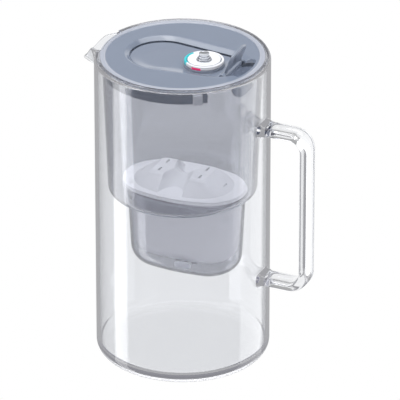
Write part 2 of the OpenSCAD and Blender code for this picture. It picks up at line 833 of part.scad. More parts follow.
module battery_contact() {
    reach = cell_r * 0.6;
    color([0.8, 0.7, 0.4]) at_indicator(board_z - 1.25) union() {
        translate([-reach, -1.5, 0]) cube([2 * reach, 3, 0.3]);
        for (side = [-1, 1]) translate([side * (reach - 0.5) - 0.5, -1.5, 0]) cube([1, 3, 1.23]);
    }
}

module cover_seal() {
    color([0.2, 0.2, 0.22]) at_indicator(cover_z + cover_t - 0.35)
        tube(cup_bore_r - 0.02, cup_bore_r - 0.8, 0.8);
}

module battery_cover() {
    color([0.62, 0.66, 0.72]) at_indicator(cover_z) difference() {
        union() {
            cylinder(r = cup_bore_r - 0.12, h = cover_t - 0.4);
            cylinder(r = cup_bore_r - 1, h = cell_low_z() - cover_z - 0.1);
            translate([0, 0, lug_z - cover_z]) linear_extrude(lug_t) intersection() {
                circle(cup_r - 0.65);
                for (a = [0, 180]) rotate([0, 0, a + cover_turn]) sector(far / 4, -14, 14);
            }
        }
        translate([0, 0, -0.1]) cube([cell_r * 1.3, 1.6, 1.8], center = true);
    }
}

glass_body();
glass_handle();
hopper();
cartridge_body();
cartridge_cap();
cartridge_seal();
inlet_screen();
filter_media();
outlet_screen();
lid_cover();
lid_gasket();
hinge_pin();
flip_flap();
indicator_cup();
light_ring();
ready_light();
change_light();
indicator_face();
button_spring();
circuit_board();
led_chips();
coin_cell();
battery_contact();
cover_seal();
reset_button();
battery_cover();
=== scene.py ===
"""Visual model of a glass water filter pitcher with a flip lid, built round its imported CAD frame.

Lengths inside the shape functions are millimetres in the row frame: origin at the centre of the
base, +Z up, +X towards the handle, the spout at -X.
"""

import bpy
import numpy as np
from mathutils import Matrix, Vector


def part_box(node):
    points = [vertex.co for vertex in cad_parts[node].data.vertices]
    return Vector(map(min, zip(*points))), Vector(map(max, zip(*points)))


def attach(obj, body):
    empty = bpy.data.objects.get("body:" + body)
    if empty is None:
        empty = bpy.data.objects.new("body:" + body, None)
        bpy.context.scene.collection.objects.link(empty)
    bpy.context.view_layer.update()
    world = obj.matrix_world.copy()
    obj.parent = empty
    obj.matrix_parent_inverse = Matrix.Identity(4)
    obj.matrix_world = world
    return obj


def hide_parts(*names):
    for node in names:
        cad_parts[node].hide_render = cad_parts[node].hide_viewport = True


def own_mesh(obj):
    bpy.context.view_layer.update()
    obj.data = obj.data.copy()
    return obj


bl_info = {
    "name": "Water Filter Pitcher",
    "version": (1, 0, 0),
    "blender": (4, 5, 0),
    "location": "3D View > Sidebar > Pitcher",
    "description": "Builds a glass filter pitcher, its hopper, cartridge, lid, flap and indicator",
    "category": "Add Mesh",
}

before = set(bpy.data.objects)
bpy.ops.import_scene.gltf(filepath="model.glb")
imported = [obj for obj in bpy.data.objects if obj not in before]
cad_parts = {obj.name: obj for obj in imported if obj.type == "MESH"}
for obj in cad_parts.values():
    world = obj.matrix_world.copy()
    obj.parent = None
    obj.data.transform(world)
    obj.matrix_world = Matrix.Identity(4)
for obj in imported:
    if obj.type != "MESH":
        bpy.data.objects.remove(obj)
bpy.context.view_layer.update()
MM = 0.001

# Levels inside the lid, in millimetres
HINGE_Z = 248.1
FLAP_TOP = 248.1
LEDGE = 245.9
PLUG_LOW = 245.7

TRAPPED = "#E8E8EB"  # grey that a ray mirrored three times inside a clear wall is left with
HAZE_SHARE = 0.02  # share of the hopper's plastic that is milky
SMOOTH = 38.0  # degrees; edges sharper than this stay sharp

# The photograph's view: a long lens, angles in degrees, distance in metres
CAMERA_AZIMUTH, CAMERA_ELEVATION, CAMERA_DISTANCE = 24.6, 26.64, 4.088

# Name, place, size and power of each lamp
LAMPS = (
    ("key_softbox", (-0.4, 0.05, 1.3), (0.7, 0.7), 3.6),
    ("fill_softbox", (1.2, -0.35, 0.3), (0.6, 0.7), 1.5),
    ("front_softbox", (0.35, -1.2, 0.45), (0.9, 0.5), 0.3),
    ("top_softbox", (0.1, 0.3, 1.3), (0.8, 0.8), 4.2),
)
# Name, bearing from the camera's side, width and strength of each card that reflections see
CARDS = (("left_card", -84.6, 0.148, 3.0), ("right_card", 100.0, 0.32, 1.5))


def low(node):
    """Lowest corner of a CAD node, in millimetres."""
    return np.array(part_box(node)[0]) / MM


def high(node):
    """Highest corner of a CAD node, in millimetres."""
    return np.array(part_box(node)[1]) / MM


# ---------------------------------------------------------------- sizes and colours


def length(name, description, default):
    return bpy.props.FloatProperty(
        name=name, description=description, default=default * MM, unit="LENGTH", subtype="DISTANCE", precision=5
    )


def angle(name, description, default):
    return bpy.props.FloatProperty(
        name=name, description=description, default=np.radians(default), unit="ROTATION", subtype="ANGLE"
    )


def colour(name, description, default):
    return bpy.props.StringProperty(name=name, description=description, default=default, maxlen=7)


class JugSizes(bpy.types.PropertyGroup):
    radius: length("Radius", "Outer radius of the glass", 68.0)
    height: length("Height", "Height of the glass rim", 250.8)
    wall: length("Wall", "Thickness of the glass wall", 3.0)
    floor: length("Floor", "Thickness of the glass floor", 7.0)
    corner: length("Corner", "Outer radius between wall and floor", 9.0)
    spout_reach: length("Spout reach", "How far the spout's tip stands out of the wall", 15.8)
    spout_drop: length("Spout drop", "How far the spout's tip lies below the rim", 14.4)
    spout_depth: length("Spout depth", "How far below the rim the spout leaves the wall", 22.0)
    handle_width: length("Handle width", "Width of the handle's glass strap", 17.0)
    handle_thick: length("Handle thickness", "Thickness of the handle's glass strap", 8.0)
    handle_foot: length("Handle foot", "How much the welded feet spread", 2.0)


class HopperSizes(bpy.types.PropertyGroup):
    top_radius: length("Top radius", "Outer radius of the tank at its top", 62.0)
    low_radius: length("Low radius", "Outer radius of the tank at its floor", 58.0)
    wall: length("Wall", "Thickness of the hopper's wall", 1.8)
    cup_length: length("Cup length", "Half the outer length of the cartridge cup", 47.7)
    cup_width: length("Cup width", "Half the outer width of the cartridge cup", 30.2)
    cup_draft: length("Cup draft", "How much the cup narrows to its bottom", 2.5)
    cup_corner: length("Cup corner", "Radius of the cup's lower edge", 15.0)
    cup_shift: length("Cup shift", "How far the cup sits towards the handle", 3.0)


class CartridgeSizes(bpy.types.PropertyGroup):
    flange_length: length("Flange length", "Half the length of the cartridge's flange", 50.5)
    flange_width: length("Flange width", "Half the width of the cartridge's flange", 33.0)
    body_length: length("Body length", "Half the length of the cartridge's body", 45.1)
    body_width: length("Body width", "Half the width of the cartridge's body", 27.6)
    shift: length("Shift", "How far the flange sits towards the handle", 1.0)
    hump_height: length("Hump height", "Height of the humps above the flange", 11.5)
    hump_apart: length("Hump distance", "Distance of each hump from the middle", 17.0)


class LidSizes(bpy.types.PropertyGroup):
    radius: length("Radius", "Outer radius of the lid", 63.6)
    plug_radius: length("Plug radius", "Outer radius of the plug below the lid", 59.3)
    trough_width: length("Trough width", "Half the width of the trough's wide end", 32.0)
    trough_end: length("Trough end", "Radius of the trough's end at the hinge", 27.0)
    trough_slope: length("Trough slope", "How far the trough's wall slopes inwards", 6.0)
    trough_depth: length("Trough depth", "Depth of the trough down to the flap", 3.5)
    hinge_x: length("Hinge", "Distance of the hinge from the jug's axis", 41.0)
    tab_length: length("Tab length", "Length of the thumb tab from the hinge", 20.5)
    tab_width: length("Tab width", "Half the width of the thumb tab", 13.5)
    tab_lean: angle("Tab lean", "How far the thumb tab leans to the handle", 21.0)
    dish: length("Dish", "Depth of the flap's shallow dish", 1.2)


class IndicatorSizes(bpy.types.PropertyGroup):
    radius: length("Radius", "Outer radius of the indicator's ring", 15.4)
    centre: length("Centre", "Distance of the indicator from the jug's axis", 18.2)
    button: length("Button", "Radius of the reset button", 4.3)


class Finishes(bpy.types.PropertyGroup):
    glass: colour("Glass", "Tint of the borosilicate glass", "#F4F5F7")
    smoke: colour("Hopper tint", "Tint that the hopper's clear plastic gives to light", "#DDDEE2")
    haze: colour("Hopper haze", "Colour of the haze in the hopper's plastic", "#9299A6")
    slate: colour("Lid", "Colour of the lid's slate-coloured plastic", "#788293")
    flap: colour("Flap", "Colour of the flap's plastic", "#7B8494")
    # painted light: the rim's paler colour stands in for light through the thin rim and highlights on its rounded
    # edge
    rim: colour("Rim", "Colour of the lid's thin rim", "#A6ABB7")
    skirt: colour("Skirt", "Colour of the splash skirt under the lid", "#5E6676")
    white: colour("Cartridge", "Colour of the cartridge's white plastic", "#F4F5F7")
    face: colour("Dial", "Colour of the indicator's face and ring", "#E6E8EC")
    ready: colour("Ready light", "Colour of the ready light", "#22A6AE")
    change: colour("Change light", "Colour of the change light", "#C81E5E")


# ---------------------------------------------------------------- shape tools


def through(x, knots, values):
    """Smooth curve through the knots that starts flat: a cubic Hermite between each two, whose slope at a
    knot is the harmonic mean of the slopes beside it, so it never swings past a knot."""
    k, v = np.asarray(knots, float), np.asarray(values, float)
    steps = np.diff(v) / np.diff(k)
    both = steps[:-1] * steps[1:]
    inner = np.where(both > 0, 2 * both / np.where(both > 0, steps[:-1] + steps[1:], 1), 0)
    slopes = np.concatenate([[0], inner, [steps[-1]]])
    i = np.clip(np.searchsorted(k, x) - 1, 0, len(k) - 2)
    h = k[i + 1] - k[i]
    t = np.clip((x - k[i]) / h, 0, 1)
    return (
        v[i] * (1 + 2 * t) * (1 - t) ** 2
        + v[i + 1] * t * t * (3 - 2 * t)
        + h * t * (1 - t) * (slopes[i] * (1 - t) - slopes[i + 1] * t)
    )


def ease(x):
    """0 below 0, 1 above 1, and 3x^2 - 2x^3 between."""
    t = np.clip(x, 0, 1)
    return t * t * (3 - 2 * t)


def directions(fine=72, coarse=58, half=24.0):
    """Angles round the axis, packed closer over half degrees each side of the spout at 180 degrees."""
    a = np.linspace(-half, half, fine, endpoint=False)
    b = np.linspace(half, 360 - half, 2 * coarse, endpoint=False)
    return np.radians(np.concatenate([a, b]) + 180.0)


def arc(cx, cz, r, start, end, n):
    """n + 1 points of a circle's arc, as columns of distance from the axis and height."""
    t = np.radians(np.linspace(start, end, n + 1))
    return np.stack([cx + r * np.cos(t), cz + r * np.sin(t)], 1)


def line(p, q, n):
    """n points from p towards q, q left out."""
    t = np.linspace(0, 1, n, endpoint=False)[:, None]
    return np.array(p, float) * (1 - t) + np.array(q, float) * t


def turned(profile, x, columns=96):
    """A profile of (radius, height) rows turned about a vertical axis at x: (x + r cos t, r sin t, z)."""
    t = np.linspace(0, 2 * np.pi, columns, endpoint=False)
    r, z = np.asarray(profile, float).T
    return np.stack([x + np.outer(r, np.cos(t)), np.outer(r, np.sin(t)), np.outer(z, np.ones(columns))], 2)


def oval(a, b, t):
    """Points of an oval of half length a and half width b whose outward normal is at angle t. The ends
    are arcs of radius 0.92 b, the sides are arcs of the radius that meets them without a kink."""
    r = 0.92 * b
    s = ((a - r) ** 2 + b * b - r * r) / (2 * (b - r))
    k = np.arctan2(s - b, a - r)
    end = np.abs(np.cos(t)) > np.cos(k)
    cx = np.where(end, np.sign(np.cos(t)) * (a - r), 0)
    cy = np.where(end, 0, -np.sign(np.sin(t)) * (s - b))
    rho = np.where(end, r, s)
    return np.stack([cx + rho * np.cos(t), cy + rho * np.sin(t)], -1)


def ring(xy, z):
    """A ring of points at one height, or with a height for each."""
    return np.concatenate([xy, np.broadcast_to(np.asarray(z, float).reshape(-1, 1), (len(xy), 1))], 1)


def polar(outline, centre_x, t):
    """Distance of a closed outline from (centre_x, 0) in each direction t, by linear interpolation."""
    d = outline - [centre_x, 0]
    a = np.arctan2(d[:, 1], d[:, 0]) % (2 * np.pi)
    order = np.argsort(a)
    a, r = a[order], np.hypot(*d[order].T)
    return np.interp(t % (2 * np.pi), a, r, period=2 * np.pi)


def egg(wide_x, wide_r, narrow_x, narrow_r):
    """Outline of an egg: two arcs of different radius joined by their common tangents."""
    k = np.arccos((wide_r - narrow_r) / (narrow_x - wide_x))
    t = np.linspace(-k, k, 240)
    u = np.linspace(k, 2 * np.pi - k, 240)
    small = np.stack([narrow_x + narrow_r * np.cos(t), narrow_r * np.sin(t)], 1)
    big = np.stack([wide_x + wide_r * np.cos(u), wide_r * np.sin(u)], 1)
    w = np.linspace(0, 1, 60)[1:-1, None]
    return np.concatenate([small, small[-1] * (1 - w) + big[0] * w, big, big[-1] * (1 - w) + small[0] * w])


def grid_faces(rows, columns, along):
    """Quads of a grid that closes round its columns, and along its rows too if asked."""
    i = np.arange(rows if along else rows - 1)[:, None]
    j = np.arange(columns)[None, :]
    i2, j2 = (i + 1) % rows, (j + 1) % columns
    return np.stack([i * columns + j, i * columns + j2, i2 * columns + j2, i2 * columns + j], 2).reshape(-1, 4)


def volume(points, faces):
    """Signed volume of a closed mesh: the sum of each face's fan of tetrahedra to the origin."""
    total = 0.0
    for k in range(1, faces.shape[1] - 1):
        a, b, c = points[faces[:, 0]], points[faces[:, k]], points[faces[:, k + 1]]
        total += np.einsum("ij,ij->i", a, np.cross(b, c)).sum()
    return total / 6


def closed(grid, along=False):
    """Points, quads and triangles of a closed grid of rows by columns, its faces turned outwards. Rows
    are rings; without along the first and the last ring are closed by a middle point each."""
    rows, columns = grid.shape[:2]
    points, quads, fans = grid.reshape(-1, 3), grid_faces(rows, columns, along), np.zeros((0, 3), int)
    if not along:
        j, first, base = np.arange(columns), np.full(columns, len(points)), (rows - 1) * columns
        k = (j + 1) % columns
        points = np.concatenate([points, [grid[0].mean(0)], [grid[-1].mean(0)]])
        fans = np.concatenate([np.stack([k, j, first], 1), np.stack([base + j, base + k, first + 1], 1)])
    if volume(points, quads) + volume(points, fans) < 0:
        quads, fans = quads[:, ::-1], fans[:, ::-1]
    return points, quads, fans


def solid(name, grid, body, finish, replaces=(), along=False):
    """A closed piece from a grid of points in millimetres, which rides on a CAD body."""
    points, quads, fans = closed(grid, along)
    mesh = bpy.data.meshes.new(name)
    mesh.from_pydata((points * MM).tolist(), [], quads.tolist() + fans.tolist())
    mesh.validate()
    mesh.shade_smooth()
    mesh.set_sharp_from_angle(angle=np.radians(SMOOTH))
    made = bpy.data.objects.new(name, mesh)
    bpy.context.scene.collection.objects.link(made)
    mesh.materials.append(finish)
    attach(made, body)
    if replaces:
        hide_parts(*replaces)
    return made


def cut(made, cutters, crease=30.0, operation="DIFFERENCE"):
    """Takes the closed grids in cutters out of a finished piece, or welds them to it, and keeps its
    material."""
    all_points, all_faces = [], []
    for grid in cutters:
        points, quads, fans = closed(grid)
        shift = len(all_points)
        all_points += (points * MM).tolist()
        all_faces += (quads + shift).tolist() + (fans + shift).tolist()
    mesh = bpy.data.meshes.new("cutter")
    mesh.from_pydata(all_points, [], all_faces)
    tool = bpy.data.objects.new("cutter", mesh)
    bpy.context.scene.collection.objects.link(tool)
    modifier = made.modifiers.new("Cut", "BOOLEAN")
    modifier.operation, modifier.solver, modifier.object = operation, "EXACT", tool
    graph = bpy.context.evaluated_depsgraph_get()
    result = bpy.data.meshes.new_from_object(made.evaluated_get(graph), depsgraph=graph)
    made.modifiers.clear()
    old, made.data = made.data, result
    result.name = made.name
    result.shade_smooth()
    result.set_sharp_from_angle(angle=np.radians(crease))
    bpy.data.objects.remove(tool)
    bpy.data.meshes.remove(mesh)
    bpy.data.meshes.remove(old)


def rod(x, y, z0, z1, r, columns=32):
    """A plain upright cylinder as a grid, used as a cutter."""
    t = np.linspace(0, 2 * np.pi, columns, endpoint=False)
    xy = np.stack([x + r * np.cos(t), y + r * np.sin(t)], 1)
    return np.stack([ring(xy, z0), ring(xy, z1)])


def box_grid(x0, x1, y0, y1, z0, z1):
    """A plain box as a grid of two rings, used as a cutter."""
    xy = np.array([[x0, y0], [x1, y0], [x1, y1], [x0, y1]], float)
    return np.stack([ring(xy, z0), ring(xy, z1)])


# ---------------------------------------------------------------- glass jug


def jug_grid(s):
    """The jug as one closed grid. Bottom and inner floor are rings of a profile. The wall's middle
    surface is the cylinder, pulled out and down at the spout; the glass lies half its thickness each
    side of it along its normal, and the fire-polished rim is a half circle over it.
    Spout: at the rim a point at |y| = 19 a goes out by out(a) and down by drop(a), two smooth curves.
    Down the wall both fade over the depth 22 - 13 a^1.5: drop falls straight with the share q that is
    left, out as q^2 / (q + 0.15 (1 - q)), which rounds its root into the wall."""
    r, h, wall, base, corner = (v / MM for v in (s.radius, s.height, s.wall, s.floor, s.corner))
    t = directions()
    mid = r - wall / 2
    z = np.concatenate([np.linspace(24, h - 34, 9), np.linspace(h - 32, h - wall / 2, 46)])
    zz, tt = np.meshgrid(z, t, indexing="ij")
    x, y = mid * np.cos(tt), mid * np.sin(tt)
    depth = h - wall / 2 - zz
    a = np.where(x < 0, np.clip(np.abs(y) / 19.0, 0, 1), 1)
    reach, sink = s.spout_reach / MM, s.spout_drop / MM
    out = reach * through(a, [0, 0.21, 0.48, 0.68, 0.86, 1], [1, 0.7, 0.45, 0.29, 0.09, 0])
    drop = sink * through(a, [0, 0.21, 0.5, 0.68, 0.85, 1], [1, 0.64, 0.21, 0.045, 0.008, 0])
    q = np.clip(1 - depth / (s.spout_depth / MM - 13 * a**1.5), 0, 1)
    x = x - out * q * q / (q + 0.15 * (1 - q) + 1e-9)
    zz = zz - drop * q
    middle = np.stack([x, y, zz], 2)
    along = np.gradient(middle, axis=0)
    across = (np.roll(middle, -1, 1) - np.roll(middle, 1, 1)) / 2
    normal = np.cross(across, along)
    normal /= np.linalg.norm(normal, axis=2, keepdims=True)
    up = along[-1] / np.linalg.norm(along[-1], axis=1, keepdims=True)
    bend = np.radians(np.linspace(0, 180, 11))[1:-1, None, None]
    rim = middle[-1] + wall / 2 * (normal[-1] * np.cos(bend) + up * np.sin(bend))
    inner_corner = corner - wall
    under = np.concatenate(
        [
            line((1.0, 0.0), (r - corner, 0), 10),
            arc(r - corner, corner, corner, -90, 0, 14),
        ]
    )
    inside = np.concatenate(
        [
            arc(r - wall - inner_corner, base + inner_corner, inner_corner, 0, -90, 12)[:-1],
            line((r - wall - inner_corner, base), (0.5, base), 10),
        ]
    )

    def spin(rows):
        r, z = rows.T
        return np.stack([np.outer(r, np.cos(t)), np.outer(r, np.sin(t)), np.outer(z, np.ones_like(t))], 2)

    outer, inner = middle + wall / 2 * normal, middle - wall / 2 * normal
    return np.concatenate([spin(under), outer, rim, inner[::-1], spin(inside)])


def handle_grid(s):
    """The handle as a rounded strap swept along a path of three straights and two quarter bends. Its
    section is a superellipse |u|^p + |v|^p = 1 with p = 4; both half sizes grow by the foot's spread
    times e^(-(d / 3.4)^2), d being the distance to the wall, and the end rings follow the wall."""
    r, wall, wide, thick = (v / MM for v in (s.radius, s.wall, s.handle_width, s.handle_thick))
    foot = s.handle_foot / MM
    far = high("glass_handle")[0] - thick / 2
    top, bottom = high("glass_handle")[2] - thick / 2 - foot, low("glass_handle")[2] + thick / 2 + foot
    bend = 12.0
    near = r - wall / 2
    rows = np.concatenate(
        [
            near + (far - bend - near) * np.linspace(0, 1, 26)[:-1, None] ** 1.6 * [1, 0] + [0, top],
            arc(far - bend, top - bend, bend, 90, 0, 18),
            line((far, top - bend), (far, bottom + bend), 16)[1:],
            arc(far - bend, bottom + bend, bend, 0, -90, 18),
            (near + (far - bend - near) * np.linspace(0, 1, 26)[:-1, None] ** 1.6 * [1, 0] + [0, bottom])[::-1],
        ]
    )
    rows[:25, 1], rows[-25:, 1] = top, bottom
    way = np.gradient(rows, axis=0)
    way /= np.linalg.norm(way, axis=1, keepdims=True)
    side = np.stack([-way[:, 1], way[:, 0]], 1)
    t = np.linspace(0, 2 * np.pi, 48, endpoint=False)
    p = 2 / 4.0
    u = np.sign(np.cos(t)) * np.abs(np.cos(t)) ** p
    v = np.sign(np.sin(t)) * np.abs(np.sin(t)) ** p
    spread = foot * np.exp(-(((rows[:, 0] - r) / 3.4) ** 2))
    y = np.outer(wide / 2 + spread, u)
    n = np.outer(thick / 2 + spread, v)
    x = rows[:, :1] + side[:, :1] * n
    z = rows[:, 1:] + side[:, 1:] * n
    hug = 1 - ease((rows[:, :1] - near) / 10)
    x = x - (near - np.sqrt(near**2 - np.minimum(y * y, 200))) * hug
    return np.stack([x, y, z], 2)


# ---------------------------------------------------------------- hopper


def blend_rows(rows, t, shift):
    """Rings that go from circles to ovals. Each row is (radius, half length, half width, share of oval,
    share of the shift, height)."""
    out = []
    for radius, a, b, share, moved, z in rows:
        circle = radius * np.stack([np.cos(t), np.sin(t)], 1)
        shape = oval(a, b, t) if share > 0 else circle
        xy = circle * (1 - share) + shape * share
        out.append(ring(xy + [shift * moved, 0], z))
    return np.stack(out)


def cup_rows(a, b, z_top, z_low, draft, corner):
    """Profile of the cartridge cup from its top to its bottom: an even taper, then a quarter circle."""
    fall = z_low + corner - z_top
    rows = [(0, a - draft * w, b - draft * w, 1, 1, z_top + fall * w) for w in np.linspace(0, 1, 12)]
    for q in np.radians(np.linspace(0, 90, 15))[1:]:
        inset = draft + corner * (1 - np.cos(q))
        rows.append((0, a - inset, b - inset, 1, 1, z_low + corner * (1 - np.sin(q))))
    a, b = a - draft - corner, b - draft - corner
    return rows + [(0, a * w, b * w, 1, 1, z_low) for w in (0.8, 0.6, 0.4, 0.2, 0.04)]


def hopper_grid(s):
    """Hopper as one closed shell: cup outside, floor, tank outside, flange, and back down inside."""
    t = directions(60, 50, 20)
    top, lowr, wall = s.top_radius / MM, s.low_radius / MM, s.wall / MM
    a, b, draft, corner = (v / MM for v in (s.cup_length, s.cup_width, s.cup_draft, s.cup_corner))
    rim, floor, bottom = high("hopper")[2], low("cartridge_body")[2] + 54.6, low("hopper")[2]
    floor_top = floor + 2.2
    glass_top = rim - 1.7
    seat = rim - 1.8
    spout_cut = (np.cos(t) < 0) & (np.abs(np.sin(t)) * 64 < 19)
    fillet = 2.2
    outside = cup_rows(a, b, floor - fillet, bottom, draft, corner)[::-1]
    for q in np.radians(np.linspace(0, 90, 6))[1:]:
        g = fillet * (1 - np.cos(q))
        outside.append((0, a + g, b + g, 1, 1, floor - fillet + fillet * np.sin(q)))
    ledge = a + fillet, b + fillet
    for w in (0.3, 0.65):
        outside.append((lowr - 5, *ledge, 1 - w, 1 - w, floor))
    outside += [(r, 0, 0, 0, 0, z) for r, z in arc(lowr - 5, floor + 5, 5, -90, 0, 9)]
    rise = glass_top - 2.4 - floor - 5
    outside += [(lowr + (top - lowr) * w, 0, 0, 0, 0, floor + 5 + rise * w) for w in np.linspace(0, 1, 12)[1:]]
    inside = [(r, 0, 0, 0, 0, z) for r, z in line((top - wall, seat), (lowr - wall, floor_top + 3.2), 13)]
    inside += [(r, 0, 0, 0, 0, z) for r, z in arc(lowr - wall - 3.2, floor_top + 3.2, 3.2, 0, -90, 8)]
    seat_a, seat_b = a - wall + 1.2, b - wall + 1.2
    for w in (0.35, 0.7):
        inside.append((lowr - 5, seat_a, seat_b, w, w, floor_top))
    for q in np.radians(np.linspace(90, 0, 5)):
        g = 1.2 * (1 - np.cos(q))
        inside.append((0, a - wall + g, b - wall + g, 1, 1, floor_top - 1.2 * (1 - np.sin(q))))
    inside += cup_rows(a - wall, b - wall, floor_top - 1.3, bottom + wall, draft, corner - wall)
    low_part = blend_rows(outside, t, s.cup_shift / MM)
    high_part = blend_rows(inside, t, s.cup_shift / MM)
    outer = np.where(spout_cut, top + 0.3, 64.6)
    edge = np.where(spout_cut, top + 0.3, 66.6)
    flange = []
    for radius, z in (
        (outer, glass_top - 2.0),
        (outer, glass_top - 0.3),
        (outer, glass_top + 0.1),
        (edge, glass_top + 0.1),
        (edge, rim - 0.45),
        (edge - 0.13, rim - 0.13),
        (edge - 0.45, rim),
        (63.85 + 0 * edge, rim),
        (63.8 + 0 * edge, rim - 0.1),
        (63.8 + 0 * edge, seat),
    ):
        inner_limit = np.where(spout_cut & (radius > top + 0.3), top + 0.3, radius)
        flange.append(ring(inner_limit[:, None] * np.stack([np.cos(t), np.sin(t)], 1), z))
    return np.concatenate([low_part, np.stack(flange), high_part])


def badge_grid(s):
    """A bare raised oval on the front of the cup: a band of round section along an oval of 6.4 by 2.9,
    laid on the cup's wall, whose side is an arc of radius s in plan and a quarter circle at its foot."""
    t = np.linspace(0, 2 * np.pi, 120, endpoint=False)
    a, b, corner = s.cup_length / MM - 2.5, s.cup_width / MM - 2.5, s.cup_corner / MM
    end = 0.92 * b
    side = ((a - end) ** 2 + b * b - end * end) / (2 * (b - end))
    rows = []
    for q in np.radians(np.linspace(0, 360, 16, endpoint=False)):
        xy = oval(6.4 + 0.4 * np.cos(q), 2.9 + 0.4 * np.cos(q), t)
        x, up = 9 + xy[:, 0], 12.5 + xy[:, 1]
        foot = corner * (1 - np.sqrt(1 - np.clip(1 - up / corner, 0, 1) ** 2))
        y = side - b - np.sqrt(side**2 - x * x) + foot - 0.5 * np.sin(q) - 0.05
        rows.append(np.stack([x + s.cup_shift / MM, y, up + low("hopper")[2]], 1))
    return np.stack(rows)


# ---------------------------------------------------------------- cartridge


def cartridge_grid(s):
    """The cartridge's body as one closed shell: an oval flange with a rounded rim over a tapered cup of
    ovals, whose lower edge is a quarter circle; the inside runs 1.4 mm within the outside."""
    t = np.linspace(0, 2 * np.pi, 168, endpoint=False)
    fa, fb, a, b = (v / MM for v in (s.flange_length, s.flange_width, s.body_length, s.body_width))
    top, bottom = high("cartridge_body")[2], low("cartridge_body")[2]
    wall, round_r = 1.4, 0.95
    rows = cup_rows(a, b, top - 2.6, bottom, 2.5, 12.0)[::-1]
    rows += [(0, a + 0.5 * w, b + 0.5 * w, 1, 1, top - 2.0 - 0.5 * (1 - w)) for w in (0.4, 1.0)]
    rows += [(0, a + (fa - a - 1) * w, b + (fb - b - 1) * w, 1, 1 - w, top - 2.0) for w in (0.35, 0.7, 1.0)]
    for q in np.radians(np.linspace(-90, 90, 9)):
        edge = round_r * (1 - np.cos(q))
        rows.append((0, fa - edge, fb - edge, 1, 0, top - 1 + 0.99 * np.sin(q)))
    rows += [(0, fa + (a - wall - fa) * w, fb + (b - wall - fb) * w, 1, w, top - 0.01) for w in (0.3, 0.6, 1.0)]
    rows += cup_rows(a - wall, b - wall, top - 0.6, bottom + wall, 2.5, 10.6)
    return blend_rows(rows, t, 2 * s.shift / MM) + [s.shift / MM, 0, 0]


def soft_lower(p, q, k):
    """The lower of two heights with a rounded join: (p + q - sqrt((p - q)^2 + k^2)) / 2."""
    return (p + q - np.sqrt((p - q) ** 2 + k * k)) / 2


def cap_grid(s):
    """The cap: a plate with a rounded edge and a loaf on it. Outlines go by direction from the oval of
    the plate to a rounded rectangle, 1 / (|cos/a|^10 + |sin/b|^10)^(1/10), as the height rises, with a
    bow of 0.7 mm in the flanks. Two scoops of round section, tilted 30 degrees, are taken from the web
    between the humps."""
    t = np.linspace(0, 2 * np.pi, 288, endpoint=False)
    unit = np.stack([np.cos(t), np.sin(t)], 1)
    fa, fb = s.flange_length / MM - 0.6, s.flange_width / MM - 0.6
    base, hump, top = low("cartridge_cap")[2], s.hump_apart / MM, s.hump_height / MM
    fine = np.linspace(0, 2 * np.pi, 720, endpoint=False)

    def oval_r(a, b):
        return polar(oval(a, b, fine), 0, t)

    def box_r(a, b):
        return (np.abs(np.cos(t) / a) ** 10 + np.abs(np.sin(t) / b) ** 10) ** -0.1

    low_r = oval_r(fa - 9.5, fb - 5.0)
    rows = [(oval_r(fa - 1.5, fb - 1.5) * w, 0) for w in (0.04, 0.4, 0.7, 0.95)]
    rows += [(oval_r(fa - g, fb - g), h) for g, h in arc(0.6, 0.6, 0.6, 270, 90, 8) * [1, 1]]
    rows += [(oval_r(fa - 0.6, fb - 0.6) * (1 - w) + low_r * w, 1.2) for w in (0.5, 0.9)]
    shoulder, crown = box_r(hump + 8.3, 15.3), box_r(hump + 5.6, 12.6)
    for w in np.linspace(0, 1, 30):
        bow = 0.7 * np.sin(np.pi * w)
        rows.append((low_r * (1 - w) + shoulder * w + bow, 1.2 + (top - 2.9) * w))
    for q in np.radians(np.linspace(0, 90, 10))[1:]:
        rows.append((crown + (shoulder - crown) * (1 - np.sin(q) ** 1.5), top - 1.7 + 1.7 * np.sin(q)))
    rows += [(crown * w, top) for w in np.linspace(1, 0.02, 44)[1:]]
    rho = np.stack([r for r, _ in rows])
    z = np.array([h for _, h in rows])[:, None] + 0 * rho
    x, y = rho * unit[:, 0], rho * unit[:, 1]
    scoop_r = hump - 6.2
    depth = scoop_r - (3 + np.abs(y)) * np.tan(np.radians(30))
    bowl = top + depth - np.sqrt(np.clip(scoop_r**2 - x * x, 0, None)) / np.cos(np.radians(30))
    bowl = bowl + 6 * np.clip(np.abs(x) - scoop_r, 0, 4)
    carved = np.maximum(soft_lower(z, bowl, 0.9), 1.2)
    z = np.where(np.arange(len(rows))[:, None] > 15, carved, z)
    return np.stack([x + s.shift / MM, y, z + base], 2)


def cap_slots(s):
    """Cutters for the six water slots: two across each hump and one at each end of the loaf."""
    hump, x0 = s.hump_apart / MM, s.shift / MM
    base, top = low("cartridge_cap")[2], high("cartridge_cap")[2]
    pairs = [(i, j) for i in (-1, 1) for j in (-1, 1)]

    def slot(x, y, half, z0, z1):
        return box_grid(x - half, x + half, y - 3, y + 3, z0, z1)

    across = [slot(x0 + i * hump, 7.2 * j, 0.75, top - 7, top + 3) for i, j in pairs]
    return across + [slot(x0 + i * 35, 0, 0.6, base + 3.5, base + 9) for i in (-1, 1)]


# ---------------------------------------------------------------- lid


def lid_outlines(s):
    """Distances from the axis, in each direction, of the trough's top edge, its seam with the flap and
    the hole under the flap, the last two cut straight in front of the hinge."""
    near = np.radians(np.linspace(0.4, 29.6, 44))
    t = np.sort(np.concatenate([directions(70, 90, 24) % (2 * np.pi), near, 2 * np.pi - near]))
    slope, end_r, wide = s.trough_slope / MM, s.trough_end / MM, s.trough_width / MM

    def straight(x):
        return np.where(np.cos(t) > 0.05, x / np.maximum(np.cos(t), 0.05), 999.0)

    edge = polar(egg(-14.0, wide, 28.8, end_r), 0, t)
    seam = polar(egg(-16.6, wide - slope, 28.8, end_r - slope), 0, t)
    hole = polar(egg(-16.6, wide - slope - 2, 28.8, end_r - slope - 2), 0, t)
    return t, edge, seam, np.minimum(seam, straight(38.0)), np.minimum(hole, straight(36.1))


